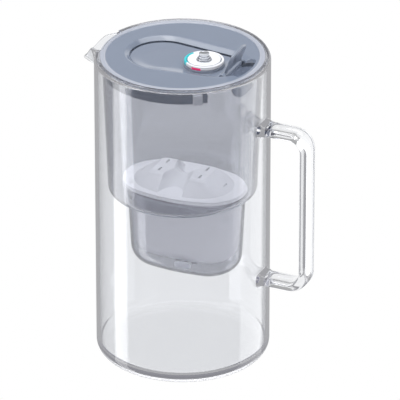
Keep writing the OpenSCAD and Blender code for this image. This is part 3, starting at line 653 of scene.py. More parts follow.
def lid_height(x, y, rho, edge, seam, s):
    """Height of the lid's face. Flat at the top; from the trough's edge to its seam it sinks by
    1.25 w^2 / (w + 0.25) of most of the depth, w being the share of the way; the rest is an upright
    step down to the flap. A bowl for the thumb behind the hinge, a trench under the hinge's barrel and
    a relief that clears the thumb tab when the flap is open take the lower value."""
    top = high("lid_cover")[2] - 0.8
    w = np.clip((edge - rho) / (edge - seam), 0, 1)
    face = top - 0.72 * s.trough_depth / MM * np.minimum(1.25 * w * w / (w + 0.25), 1)
    back = (57.4 - np.hypot(x, y)) / 6.5
    side = (18.4 - np.hypot(x - 57.8, y)) / 8.0
    bowl = top - 18.2 * ease(soft_lower(back, side, 0.2) * 1.4)
    trench = np.where((np.abs(y) < 14.75) & (x > 30) & (x < 46), 244.7 + 5 * np.maximum(x - 44.6, 0), 999)
    relief = np.where(x > 42, 246.3 + 0.445 * (x - 41.5) + 3 * np.maximum(np.abs(y) - 13.8, 0), 999)
    return np.minimum(np.minimum(face, bowl), np.minimum(trench, relief))


def lid_grid(s):
    """The lid's cover as one closed surface, ring by ring: under its lip, round its edge, the raised
    rim, the flat face, the trough, the ledge, the hole, the underside 2 mm below the face along its
    normals, and the plug."""
    t, edge, seam, ledge_edge, hole = lid_outlines(s)
    unit = np.stack([np.cos(t), np.sin(t)], 1)
    radius, plug = s.radius / MM, s.plug_radius / MM
    rim = high("lid_cover")[2]
    top, lip, ledge = rim - 0.8, rim - 1.5, LEDGE
    profile = [(plug, lip - 0.02), (radius - 0.15, lip), (radius, lip + 0.15), (radius, rim - 0.8)]
    profile += arc(radius - 0.8, rim - 0.8, 0.8, 12, 90, 6).tolist()
    profile += [(61.2, rim), (60.3, rim), (59.95, rim - 0.08), (59.65, rim - 0.35), (59.35, rim - 0.68)]
    profile += [(58.9, top), (58.4, top), (57.9, top)]
    rows = np.stack([ring(unit * r, z) for r, z in profile])
    plan = [57.5 + (edge - 57.5) * w for w in np.linspace(0, 1, 26)]
    plan += [edge + (ledge_edge - edge) * w for w in np.linspace(0, 1, 30)[1:]]
    rho = np.stack(plan)
    x, y = rho * unit[:, 0], rho * unit[:, 1]
    face = np.stack([x, y, lid_height(x, y, rho, edge, seam, s)], 2)
    wall = [ring(unit * ledge_edge[:, None], face[-1, :, 2] * (1 - w) + ledge * w) for w in (0.5, 1.0)]
    inner = [ring(unit * hole[:, None], z) for z in (ledge, ledge - 0.2, ledge - 2.0, ledge - 2.2)]
    down = np.gradient(face, axis=0)
    across = (np.roll(face, -1, 1) - np.roll(face, 1, 1)) / 2
    normal = np.cross(across, down)
    normal *= np.where(normal[:, :, 2:] < 0, -1, 1) / np.linalg.norm(normal, axis=2, keepdims=True)
    under = (face - 2.0 * normal)[::-1][1:]
    under[:, :, 2] = np.minimum(np.minimum(under[:, :, 2], face[::-1][1:, :, 2] - 1.4), top - 2.0)
    out = np.hypot(under[:, :, 0], under[:, :, 1])[:, :, None]
    under[:, :, :2] *= np.minimum(out, plug - 0.1) / out
    floor_edge = ring(unit * (ledge_edge + 1.2)[:, None], np.minimum(ledge - 2.2, under[0, :, 2]))
    bottom = [(plug - 1.6, top - 2.1), (plug - 1.6, PLUG_LOW + 0.05), (plug - 1.5, PLUG_LOW)]
    bottom += [(plug - 0.1, PLUG_LOW), (plug, PLUG_LOW + 0.1)]
    skirt = np.stack([ring(unit * r, z) for r, z in bottom])
    return np.concatenate([rows, face, np.stack(wall), np.stack(inner), floor_edge[None], under, skirt])


def rounded_section(x0, x1, z0, z1, r, n=5):
    """A rectangle with rounded corners as a closed ring of points."""
    corners = [(x1 - r, z1 - r, 0), (x0 + r, z1 - r, 90), (x0 + r, z0 + r, 180), (x1 - r, z0 + r, 270)]
    return np.concatenate([arc(cx, cz, r, a, a + 90, n) for cx, cz, a in corners])


def swept_bar(section, start, end, n, x=0.0):
    """A bar whose section, as distance from an upright axis at x and height, is carried round that axis
    from start to end degrees."""
    a = np.radians(np.linspace(start, end, n))
    r, z = section.T
    return np.stack([x + np.outer(np.cos(a), r), np.outer(np.sin(a), r), np.outer(np.ones(n), z)], 2)


def prism(outline, y0, y1, bevel=0.35):
    """A bar along Y: the outline, as x and z, with its ends drawn in by the bevel."""
    middle = outline.mean(0)
    small = middle + (outline - middle) * (1 - bevel / np.abs(outline - middle).max())
    rows = ((y0, small), (y0 + bevel, outline), (y1 - bevel, outline), (y1, small))
    return np.stack([np.stack([o[:, 0], np.full(len(o), y), o[:, 1]], 1) for y, o in rows])


# ---------------------------------------------------------------- flap


def flap_grid(s):
    """The flap's plate: an egg-shaped slab cut straight before the hinge, with a smaller boss below it.
    Each ring is the outline drawn in by an inset. Its edge is rounded by 0.5 mm, and its face sinks to
    the pan's depth by (1 - (1 - w)^2.2)^1.4, w being the share of the way over
    11.4 mm."""
    near = np.radians(np.linspace(20, 32, 30))
    t = np.sort(np.concatenate([np.linspace(0, 2 * np.pi, 290, endpoint=False), near, 2 * np.pi - near]))
    unit = np.stack([np.cos(t), np.sin(t)], 1)
    slope = s.trough_slope / MM + 0.95
    outline = polar(egg(-16.6, s.trough_width / MM - slope, 28.8, s.trough_end / MM - slope), 0, t)
    straight = np.where(np.cos(t) > 0.05, 37.7 / np.maximum(np.cos(t), 0.05), 999.0)
    outline = np.minimum(outline, straight)
    top, under, dish = FLAP_TOP, FLAP_TOP - 2.0, s.dish / MM
    inset = [(2.4, under - 1.6), (2.1, under - 1.5), (2.0, under - 1.3), (2.0, under - 0.02)]
    inset += [(1.9, under), (0.5, under)]
    for level, start, end, n in ((under + 0.5, -75, 0, 5), (top - 0.5, 0, 90, 7)):
        inset += [(0.5 - 0.5 * np.cos(q), level + 0.5 * np.sin(q)) for q in np.radians(np.linspace(start, end, n))]
    inset += [(0.6 + 11.4 * w, top - dish * (1 - (1 - w) ** 2.2) ** 1.4) for w in np.linspace(0, 1, 20)[1:]]
    rows = [(outline * w, under - 1.6) for w in (0.03, 0.5, 0.9)]
    rows += [(outline - g, z) for g, z in inset]
    rows += [((outline - 12.0) * w, top - dish) for w in (0.8, 0.6, 0.4, 0.2, 0.03)]
    return np.stack([ring(unit * rho[:, None], z) for rho, z in rows])


def tab_grid(s):
    """The thumb tab. Its outline in its own plane is a rounded rectangle under an arch of radius 2.2
    times its half width; its edge is a half circle 2.4 mm thick, its front face bows out by
    1.7 (1 - r^2) and its back face is hollow by 2.1 (1 - r^2), and the whole leans back about the
    hinge."""
    long, half = s.tab_length / MM, s.tab_width / MM
    corner, thick, r = 6.0, 2.4, 1.15
    outline = np.concatenate(
        [
            arc(half - corner, long - corner, corner, 0, 90, 20),
            line((half - corner - 0.2, long), (corner - half, long), 24),
            arc(corner - half, long - corner, corner, 90, 180, 20),
            line((-half, long - corner - 0.3), (-half, 0.4), 16),
            line((-half, -0.6), (half, -0.6), 30),
            line((half, 0.2), (half, long - corner - 0.2), 16),
        ]
    )
    arch = 2.2 * half
    outline[:, 1] = np.minimum(outline[:, 1], long - arch + np.sqrt(arch**2 - outline[:, 0] ** 2))
    middle = np.array([0, long * 0.52])
    t = np.linspace(0, 2 * np.pi, 192, endpoint=False)
    reach = polar(outline - middle, 0, t)
    unit = np.stack([np.cos(t), np.sin(t)], 1)
    shares = (0.03, 0.15, 0.3, 0.45, 0.6, 0.75, 0.9)
    rows = [((reach - r) * w, -thick / 2 - 1.7 * (1 - w * w)) for w in shares]
    for q in np.radians(np.linspace(-90, 90, 15)):
        rows.append((reach - r + r * np.cos(q), thick / 2 * np.sin(q)))
    rows += [((reach - r) * w, thick / 2 - 2.1 * (1 - w * w)) for w in shares[::-1]]
    lean, hinge = s.tab_lean, s.hinge_x / MM
    grid = []
    for rho, n in rows:
        across, up = (middle + unit * rho[:, None]).T
        x = hinge + up * np.sin(lean) + n * np.cos(lean)
        grid.append(np.stack([x, across, HINGE_Z + up * np.cos(lean) - n * np.sin(lean)], 1))
    return np.stack(grid)


# ---------------------------------------------------------------- indicator


def face_profile(s):
    """The indicator's face as a closed section round its bore: an outer edge rounded by 0.25 mm beside a
    groove of 0.65 mm, and a face that sinks by 0.7 mm to the collar's foot as half a sine wave."""
    outer = s.radius / MM - 2.65
    base = low("indicator_face")[2]
    top, bore = base + 2.1, s.button / MM + 0.15
    w = np.linspace(0, 1, 16)
    sink = np.stack([outer - 0.3 - (outer - 0.3 - bore) * w, top - 0.7 * np.sin(np.pi * w / 2)], 1)
    edge = arc(outer - 0.25, top - 0.25, 0.25, 15, 75, 4)
    foot = [(bore, base), (outer - 0.2, base), (outer, base + 0.2), (outer, top - 0.25)]
    return np.concatenate([foot, edge, sink])


def collar_profile(s):
    """The chrome collar round the button: a foot ring, a hollow cone up from it, and a rounded top."""
    r, foot, top = s.button / MM, low("indicator_face")[2] + 0.9, high("indicator_face")[2]
    out = r + 1.7
    return np.concatenate(
        [
            [(r + 0.2, foot), (out, foot), (out, foot + 0.75)],
            arc(out - 0.3, foot + 0.75, 0.3, 10, 80, 4),
            arc(out - 0.35, top - 0.15, 1.15, 260, 190, 6),
            arc(r + 0.75, top - 0.3, 0.3, 20, 90, 4),
            [(r + 0.35, top), (r + 0.2, top - 0.15)],
        ]
    )


def pad_profile(s):
    """The pad round the indicator on the flap: a band with a rounded upper edge and a small fillet."""
    r, top = s.radius / MM + 0.6, 249.3
    inner, base = r - 3.3, 246.4
    return np.concatenate(
        [
            [(inner, base), (r + 1.0, base), (r + 1.0, 246.75)],
            arc(r + 0.9, 247.75, 0.9, 255, 185, 6),
            arc(r - 0.5, top - 0.5, 0.5, 0, 90, 6),
            [(inner + 0.1, top), (inner, top - 0.1)],
        ]
    )


def button_profile(s):
    """The reset button: a foot, a shaft, a rounded step, a drum that widens a little to a rounded crown,
    and a finger hollow that is part of a sphere of radius 14."""
    r, top, foot = s.button / MM, high("reset_button")[2], low("reset_button")[2]
    step = top - 2.3
    crown = r - 0.35
    hollow = np.linspace(crown - 0.7, 0.05, 12)
    return np.concatenate(
        [
            [(0.05, foot), (r - 0.2, foot), (r, foot + 0.2), (r, step - 0.35)],
            arc(r - 0.35, step - 0.35, 0.35, 15, 80, 4),
            [(r - 0.75, step + 0.02), (r - 0.8, step + 0.25), (crown - 0.15, top - 0.8)],
            arc(crown - 0.35, top - 0.35, 0.35, 0, 90, 6),
            np.stack([hollow, top - 0.55 + 14 - np.sqrt(196 - hollow**2)], 1),
        ]
    )


def spring_grid(s):
    """The button's return spring: a wire of 0.4 mm in three turns of a cone that narrows upwards by
    1.8 mm, so that its turns nest when the button is pressed."""
    share = np.linspace(0, 1, 145)[:, None]
    q = np.linspace(0, 2 * np.pi, 12, endpoint=False)
    wire, base, top = 0.2, low("button_spring")[2], high("button_spring")[2]
    r = s.button / MM - 0.9 - 1.8 * share + wire * np.cos(q)
    z = base + wire + (top - base - 2 * wire) * share + wire * np.sin(q)
    return np.stack([s.centre / MM + r * np.cos(6 * np.pi * share), r * np.sin(6 * np.pi * share), z], 2)


# ---------------------------------------------------------------- materials


def linear(code):
    """An sRGB hex colour as linear red, green, blue and alpha."""
    c = np.array([int(code[i : i + 2], 16) for i in (1, 3, 5)]) / 255.0
    c = np.where(c <= 0.04045, c / 12.92, ((c + 0.055) / 1.055) ** 2.4)
    return (*c.tolist(), 1.0)


def grey(level, blue=0.0):
    """A linear grey of a level, with a little more blue if asked."""
    return (level, level, level + blue, 1)


def add_node(tree, kind, inputs=None, stops=(), **settings):
    """Adds a shader node, named by the end of its type, with its settings. inputs gives each socket, by
    name or number, a value, a link, or a node whose first output is linked. stops are the positions and
    colours of a ramp, from low to high."""
    node = tree.nodes.new("ShaderNode" + kind)
    for key, value in settings.items():
        setattr(node, key, value)
    for key, value in (inputs or {}).items():
        if isinstance(value, bpy.types.Node):
            value = value.outputs[0]
        if isinstance(value, bpy.types.NodeSocket):
            tree.links.new(value, node.inputs[key])
        else:
            node.inputs[key].default_value = value
    if stops:
        elements = node.color_ramp.elements
        elements[0].position, elements[1].position = stops[0][0], stops[-1][0]
        for place, _ in stops[1:-1]:
            elements.new(place)
        for element, (_, tone) in zip(elements, stops):
            element.color = tone
    return node


def new_material(name):
    """An empty node material and its tree."""
    made = bpy.data.materials.new(name)
    made.use_nodes = True
    made.node_tree.nodes.clear()
    return made, made.node_tree


def shades(code, share):
    """The stops of a ramp from a colour darker by a share to the colour lighter by it."""
    base = np.array(linear(code)[:3])
    return [(place, (*np.clip(base * level, 0, 1), 1)) for place, level in ((0.3, 1 - share), (0.7, 1 + share))]


def lets_lamps_through(tree, shader, tint, trapped=""):
    """Shadow and diffuse rays pass straight through the material with its tint, as light does through
    a thin wall, so that what stands behind and inside it is lit. In clear glass, rays that have been
    mirrored three times inside it, which would end in black, pass with a grey loss at each face."""
    path = add_node(tree, "LightPath").outputs
    either = add_node(tree, "Math", {0: path["Is Shadow Ray"], 1: path["Is Diffuse Ray"]}, operation="MAXIMUM")
    if trapped:
        lost = add_node(tree, "Math", {0: path["Glossy Depth"], 1: 2.5}, operation="GREATER_THAN")
        loss = add_node(tree, "BsdfTransparent", {"Color": linear(trapped)})
        shader = add_node(tree, "MixShader", {0: lost, 1: shader, 2: loss})
    clear = add_node(tree, "BsdfTransparent", {"Color": linear(tint)})
    mix = add_node(tree, "MixShader", {0: either, 1: shader, 2: clear})
    add_node(tree, "OutputMaterial", {"Surface": mix})


def borosilicate_glass(code):
    """Clear borosilicate glass, blown and fire polished: IOR 1.47, a faint neutral tint and the slow
    ripple of a hand-finished wall, drawn at 60 mm."""
    made, tree = new_material("borosilicate_glass")
    where = add_node(tree, "TexCoord").outputs["Object"]
    ripple = add_node(tree, "TexNoise", {"Vector": where, "Scale": 1 / 0.06, "Detail": 1.0})
    bump = add_node(tree, "Bump", {"Height": ripple, "Strength": 0.05, "Distance": 0.004})
    polished = {"Base Color": linear(code), "Roughness": 0.0, "IOR": 1.47, "Transmission Weight": 1.0}
    glass = add_node(tree, "BsdfPrincipled", {**polished, "Normal": bump})
    lets_lamps_through(tree, glass, "#FDFDFE", TRAPPED)
    return made


def smoke_styrene(code, haze_code):
    """Smoke-tinted clear styrene copolymer, injection moulded: the wall takes some light, keeps a soft
    haze of its own colour and a polished face with the mould's slow flow marks at 12 mm."""
    made, tree = new_material("smoke_styrene")
    where = add_node(tree, "TexCoord").outputs["Object"]
    flow = add_node(tree, "TexNoise", {"Vector": where, "Scale": 1 / 0.012, "Detail": 1.0})
    bump = add_node(tree, "Bump", {"Height": flow, "Strength": 0.03, "Distance": 0.001})
    polished = {"Base Color": linear(code), "Roughness": 0.02, "IOR": 1.25, "Transmission Weight": 1.0}
    coat = {"Coat Weight": 0.8, "Coat Roughness": 0.03}
    clear = add_node(tree, "BsdfPrincipled", {**polished, **coat, "Normal": bump})
    tone = add_node(tree, "ValToRGB", {0: flow}, shades(haze_code, 0.03))
    milky = add_node(tree, "BsdfPrincipled", {"Base Color": tone, "Roughness": 0.22, "Normal": bump})
    mixed = add_node(tree, "MixShader", {0: HAZE_SHARE, 1: clear, 2: milky})
    lets_lamps_through(tree, mixed, "#FCFCFD", TRAPPED)
    return made


def moulded(name, code, roughness, grain_mm=0.6, strength=0.1, mottle=0.03, coat=0.0):
    """A moulded plastic, rubber or coated piece: its colour varied by a slow cloud of a few per cent, a
    fine grain in the bump, and a roughness that follows the cloud."""
    made, tree = new_material(name)
    where = add_node(tree, "TexCoord").outputs["Object"]
    cloud = add_node(tree, "TexNoise", {"Vector": where, "Scale": 1 / 0.03, "Detail": 3.0})
    grain = add_node(tree, "TexNoise", {"Vector": where, "Scale": 1000 / grain_mm, "Detail": 2.0})
    rough = add_node(tree, "MapRange", {0: cloud, 1: 0.3, 2: 0.7, 3: roughness * 0.85, 4: roughness * 1.15})
    bump = add_node(tree, "Bump", {"Height": grain, "Strength": strength, "Distance": 0.0001})
    tone = add_node(tree, "ValToRGB", {0: cloud}, shades(code, mottle))
    inputs = {"Base Color": tone, "Roughness": rough, "Normal": bump, "IOR": 1.49, "Coat Weight": coat}
    add_node(tree, "OutputMaterial", {"Surface": add_node(tree, "BsdfPrincipled", inputs)})
    return made


def slate_styrene(name, code, rim_light_code, rim_light_at, step_at):
    """The lid's slate-coloured plastic, moulded and polished. Its thin rim is painted paler as painted light,
    for the light that comes through it and the highlights on its rounded edge: the colour changes over
    0.5 mm at a distance rim_light_at, in metres, from the jug's axis. In the 3 mm below the height step_at,
    at the step down into the trough, the colour is darkened to 0.35 of itself as painted shade."""
    made, tree = new_material(name)
    where = add_node(tree, "TexCoord").outputs["Object"]
    cloud = add_node(tree, "TexNoise", {"Vector": where, "Scale": 1 / 0.04, "Detail": 2.0})
    grain = add_node(tree, "TexNoise", {"Vector": where, "Scale": 1 / 0.0007})
    flat = add_node(tree, "VectorMath", {0: where, 1: (1, 1, 0)}, operation="MULTIPLY")
    away = add_node(tree, "VectorMath", {0: flat}, operation="LENGTH").outputs["Value"]
    # painted light: out past the rim's distance the colour turns to the paler rim colour, for light through the
    # rim and highlights on its edge
    share = add_node(tree, "MapRange", {0: away, 1: rim_light_at - 0.0005, 2: rim_light_at, 3: 0.0, 4: 1.0})
    level = add_node(tree, "SeparateXYZ", {0: where}).outputs[2]
    # painted shade: in a band about 3 mm below step_at, at the step down into the trough, the colour is darkened
    # to 0.35
    off = add_node(tree, "Math", {0: level, 1: step_at - 0.0015}, operation="SUBTRACT")
    from_step = add_node(tree, "Math", {0: off}, operation="ABSOLUTE")
    painted_step_shade = add_node(tree, "MapRange", {0: from_step, 1: 0.0013, 2: 0.0015, 3: 0.35, 4: 1.0})
    tone = add_node(tree, "ValToRGB", {0: cloud}, shades(code, 0.025))
    body = add_node(tree, "VectorMath", {0: tone, "Scale": painted_step_shade}, operation="SCALE")
    mix = add_node(tree, "Mix", {0: share, 6: body, 7: linear(rim_light_code)}, data_type="RGBA").outputs[2]
    bump = add_node(tree, "Bump", {"Height": grain, "Strength": 0.04, "Distance": 0.0001})
    polished = {"Roughness": 0.13, "IOR": 1.52, "Coat Weight": 0.3, "Coat Roughness": 0.04}
    shader = add_node(tree, "BsdfPrincipled", {"Base Color": mix, **polished, "Normal": bump})
    lets_lamps_through(tree, shader, "#FDFDFE")
    return made


def metal(name, code, roughness, stretch=(1, 1, 40), scale_mm=2.0, strength=0.08):
    """A bare or plated metal: full metallic with fine tool marks, noise stretched across their run."""
    made, tree = new_material(name)
    where = add_node(tree, "TexCoord").outputs["Object"]
    turn = add_node(tree, "Mapping", {"Vector": where, "Scale": stretch})
    marks = add_node(tree, "TexNoise", {"Vector": turn, "Scale": 1000 / scale_mm, "Detail": 3.0})
    rough = add_node(tree, "MapRange", {0: marks, 1: 0.3, 2: 0.7, 3: roughness * 0.7, 4: roughness * 1.3})
    bump = add_node(tree, "Bump", {"Height": marks, "Strength": strength, "Distance": 0.00005})
    tone = add_node(tree, "ValToRGB", {0: marks}, shades(code, 0.05))
    inputs = {"Base Color": tone, "Metallic": 1.0, "Roughness": rough, "Normal": bump}
    add_node(tree, "OutputMaterial", {"Surface": add_node(tree, "BsdfPrincipled", inputs)})
    return made


def lit_window(name, code, strength):
    """A diffusing window over a small light: milky styrene that glows in its own colour, with the cloud
    of its diffusing filler at 4 mm."""
    made, tree = new_material(name)
    where = add_node(tree, "TexCoord").outputs["Object"]
    filler = add_node(tree, "TexNoise", {"Vector": where, "Scale": 1 / 0.004, "Detail": 2.0})
    bump = add_node(tree, "Bump", {"Height": filler, "Strength": 0.03, "Distance": 0.0002})
    tone = add_node(tree, "ValToRGB", {0: filler}, shades(code, 0.06))
    glow = {"Emission Color": linear(code), "Emission Strength": strength}
    shader = add_node(tree, "BsdfPrincipled", {"Base Color": tone, "Roughness": 0.3, **glow, "Normal": bump})
    add_node(tree, "OutputMaterial", {"Surface": shader})
    return made


def filter_beads():
    """The filter bed: carbon grains and paler resin beads 0.9 mm wide, each cell of the Voronoi pattern
    one bead with its own shade, and round in the bump."""
    made, tree = new_material("carbon_and_resin_beads")
    where = add_node(tree, "TexCoord").outputs["Object"]
    cells = add_node(tree, "TexVoronoi", {"Vector": where, "Scale": 1 / 0.0009}).outputs
    shade = add_node(tree, "SeparateColor", {0: cells["Color"]})
    tone = add_node(tree, "ValToRGB", {0: shade}, [(0.55, linear("#232325")), (0.62, linear("#C9BFA6"))])
    bump = add_node(tree, "Bump", {"Height": cells["Distance"], "Strength": 0.9, "Distance": 0.0004}, invert=True)
    shader = add_node(tree, "BsdfPrincipled", {"Base Color": tone, "Roughness": 0.55, "Normal": bump})
    add_node(tree, "OutputMaterial", {"Surface": shader})
    return made


def fleece():
    """The cartridge's screens: white needled fleece, two crossed stretched noises as its fibres."""
    made, tree = new_material("white_filter_fleece")
    where = add_node(tree, "TexCoord").outputs["Object"]
    fibres = []
    for turn, stretch in ((0.0, (1, 9, 1)), (0.9, (9, 1, 1))):
        run = add_node(tree, "Mapping", {"Vector": where, "Rotation": (0, 0, turn), "Scale": stretch})
        fibres.append(add_node(tree, "TexNoise", {"Vector": run, "Scale": 1 / 0.003, "Detail": 4.0}))
    both = add_node(tree, "Math", {0: fibres[0], 1: fibres[1]}, operation="MAXIMUM")
    bump = add_node(tree, "Bump", {"Height": both, "Strength": 0.6, "Distance": 0.0003})
    tone = add_node(tree, "ValToRGB", {0: both}, shades("#E4E6E8", 0.07))
    inputs = {"Base Color": tone, "Roughness": 0.9, "Sheen Weight": 0.3, "Normal": bump}
    add_node(tree, "OutputMaterial", {"Surface": add_node(tree, "BsdfPrincipled", inputs)})
    return made


def solder_mask():
    """The circuit board's green solder mask over copper tracks 1 mm apart, as raised lines."""
    made, tree = new_material("green_solder_mask")
    where = add_node(tree, "TexCoord").outputs["Object"]
    green = {"Color1": linear("#1D6B41"), "Color2": linear("#1A6139"), "Mortar": linear("#2F8A57")}
    layout = {"Vector": where, "Scale": 1 / 0.004, "Mortar Size": 0.06}
    tracks = add_node(tree, "TexBrick", {**layout, **green}).outputs
    bump = add_node(tree, "Bump", {"Height": tracks["Fac"], "Strength": 0.3, "Distance": 0.0001})
    inputs = {"Base Color": tracks["Color"], "Roughness": 0.3, "Coat Weight": 0.4, "Normal": bump}
    add_node(tree, "OutputMaterial", {"Surface": add_node(tree, "BsdfPrincipled", inputs)})
    return made


def paint(finish, *names):
    """Gives carried-over CAD nodes their finish, in every slot they have."""
    for name in names:
        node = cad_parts[name]
        for slot in node.material_slots:
            slot.material = finish
        if not node.material_slots:
            node.data.materials.append(finish)


# ---------------------------------------------------------------- operators


class PITCHER_OT_glass(bpy.types.Operator):
    """Makes the blown glass jug and its welded handle"""

    bl_idname = "pitcher.glass"
    bl_label = "Glass jug"

    def execute(self, context):
        sizes, finish = context.scene.pitcher_jug, context.scene.pitcher_finishes
        glass = borosilicate_glass(finish.glass)
        jug = solid("jug_wall", jug_grid(sizes), "jug", glass, ["glass_body", "glass_handle"])
        cut(jug, [handle_grid(sizes)], SMOOTH, "UNION")
        return {"FINISHED"}


class PITCHER_OT_hopper(bpy.types.Operator):
    """Makes the hanging hopper with its cartridge cup, outlet holes, lugs and bare badge"""

    bl_idname = "pitcher.hopper"
    bl_label = "Hopper"

    def execute(self, context):
        sizes, finish = context.scene.pitcher_hopper, context.scene.pitcher_finishes
        smoke = smoke_styrene(finish.smoke, finish.haze)
        bottom, shift = low("hopper")[2], sizes.cup_shift / MM
        shell = solid("hopper_shell", hopper_grid(sizes), "hopper", smoke, ["hopper"])
        turn = np.radians(np.arange(6) * 60)
        spots = [(0.0, 0.0), *zip(6.8 * np.cos(turn), 6.8 * np.sin(turn))]
        cut(shell, [rod(shift + x, y, bottom - 2, bottom + 6, 2.0) for x, y in spots])
        lug = rounded_section(58.2, 59.9, 238.0, 245.3, 0.5)
        for name, middle in (("lug_back", 54.0), ("lug_front", -54.0)):
            solid(name, swept_bar(lug, middle - 3.3, middle + 3.3, 16), "hopper", smoke)
        # painted highlight: the clear raised oval gets an opaque pale colour that stands in for its highlights
        painted_highlight_badge = moulded("badge_painted_highlight", "#D3D6DD", 0.3, 0.5, 0.05, 0.02)
        solid("cup_badge", badge_grid(sizes), "hopper", painted_highlight_badge)
        return {"FINISHED"}


class PITCHER_OT_cartridge(bpy.types.Operator):
    """Makes the filter cartridge: cup, cap with water slots, fleece, beads and seal"""

    bl_idname = "pitcher.cartridge"
    bl_label = "Filter cartridge"

    def execute(self, context):
        sizes, finish = context.scene.pitcher_cartridge, context.scene.pitcher_finishes
        white = moulded("white_polypropylene", finish.white, 0.3, 0.8, 0.06, 0.02)
        bottom = low("cartridge_body")[2]
        spots = [(3 + x, y) for x in range(-20, 21, 5) for y in (-6, 0, 6)]
        holes = [rod(x, y, bottom - 2, bottom + 3, 0.9, 16) for x, y in spots]
        for name, grid, node, cutters in (
            ("cartridge_cup", cartridge_grid(sizes), "cartridge_body", holes),
            ("cartridge_top", cap_grid(sizes), "cartridge_cap", cap_slots(sizes)),
        ):
            cut(solid(name, grid, "cartridge", white, [node]), cutters)
        paint(fleece(), "inlet_screen", "outlet_screen")
        paint(filter_beads(), "filter_media")
        paint(moulded("grey_silicone", "#BFC6CF", 0.5, 0.3, 0.15, 0.02), "cartridge_seal", "lid_gasket")
        return {"FINISHED"}


class PITCHER_OT_lid(bpy.types.Operator):
    """Makes the lid with its trough, thumb scoop, hinge ears and splash skirt"""

    bl_idname = "pitcher.lid"
    bl_label = "Lid"

    def execute(self, context):
        sizes, finish = context.scene.pitcher_lid, context.scene.pitcher_finishes
        # the rim is painted paler from 59.7 mm out as painted light; the band below the 249 mm step gets painted
        # shade
        slate = slate_styrene("slate_styrene_lid", finish.slate, finish.rim, 0.0597, 0.249)
        dark = moulded("slate_styrene_skirt", finish.skirt, 0.25, 0.8, 0.05, 0.03)
        solid("lid_top", lid_grid(sizes), "lid", slate, ["lid_cover"], along=True)
        hinge, z = sizes.hinge_x / MM, HINGE_Z
        foot = [(hinge + 2.8, z - 2.6), (hinge - 2.8, z - 2.6)]
        ear = np.concatenate([arc(hinge, z, 2.8, 0, 180, 24), np.array(foot)[::-1]])
        for name, y in (("ear_back", 14.7), ("ear_front", -17.9)):
            solid(name, prism(ear, y, y + 3.2), "lid", slate)
        section = rounded_section(57.75, 59.25, 238.8, 246.0, 0.5)
        for name, start, end, n in (
            ("skirt_back", 47.0, 50.2, 8),
            ("skirt_spout", 57.8, 302.2, 180),
            ("skirt_front", 309.8, 313.0, 8),
        ):
            solid(name, swept_bar(section, start, end, n), "lid", dark)
        paint(metal("turned_steel_pin", "#C2C4C8", 0.25, (1, 60, 1)), "hinge_pin")
        return {"FINISHED"}


class PITCHER_OT_flap(bpy.types.Operator):
    """Makes the flap that opens for filling, with its hinge barrel and thumb tab"""

    bl_idname = "pitcher.flap"
    bl_label = "Flap"

    def execute(self, context):
        sizes, finish = context.scene.pitcher_lid, context.scene.pitcher_finishes
        indicator = context.scene.pitcher_indicator
        # the flap gets painted shade in the band below 246.5 mm; the paler painted rim lies beyond the flap
        slate = slate_styrene("slate_styrene_flap", finish.flap, finish.rim, 0.0697, 0.2465)
        plate = solid("flap_plate", flap_grid(sizes), "flap", slate, ["flip_flap"])
        cut(plate, [rod(indicator.centre / MM, 0, 240, 252, 12.75, 96)])
        pad = turned(pad_profile(indicator), indicator.centre / MM, 128)
        solid("indicator_pad", pad, "flap", slate, along=True)
        hinge, z = sizes.hinge_x / MM, HINGE_Z
        strip = rounded_section(36.4, hinge, 246.15, 248.0, 0.4)
        for name, grid in (
            ("hinge_barrel", prism(arc(hinge, z, 2.8, 0, 352.5, 47), -14.3, 14.3)),
            ("hinge_strip", prism(strip, -14.3, 14.3, 0.3)),
            ("thumb_tab", tab_grid(sizes)),
        ):
            solid(name, grid, "flap", slate)
        return {"FINISHED"}


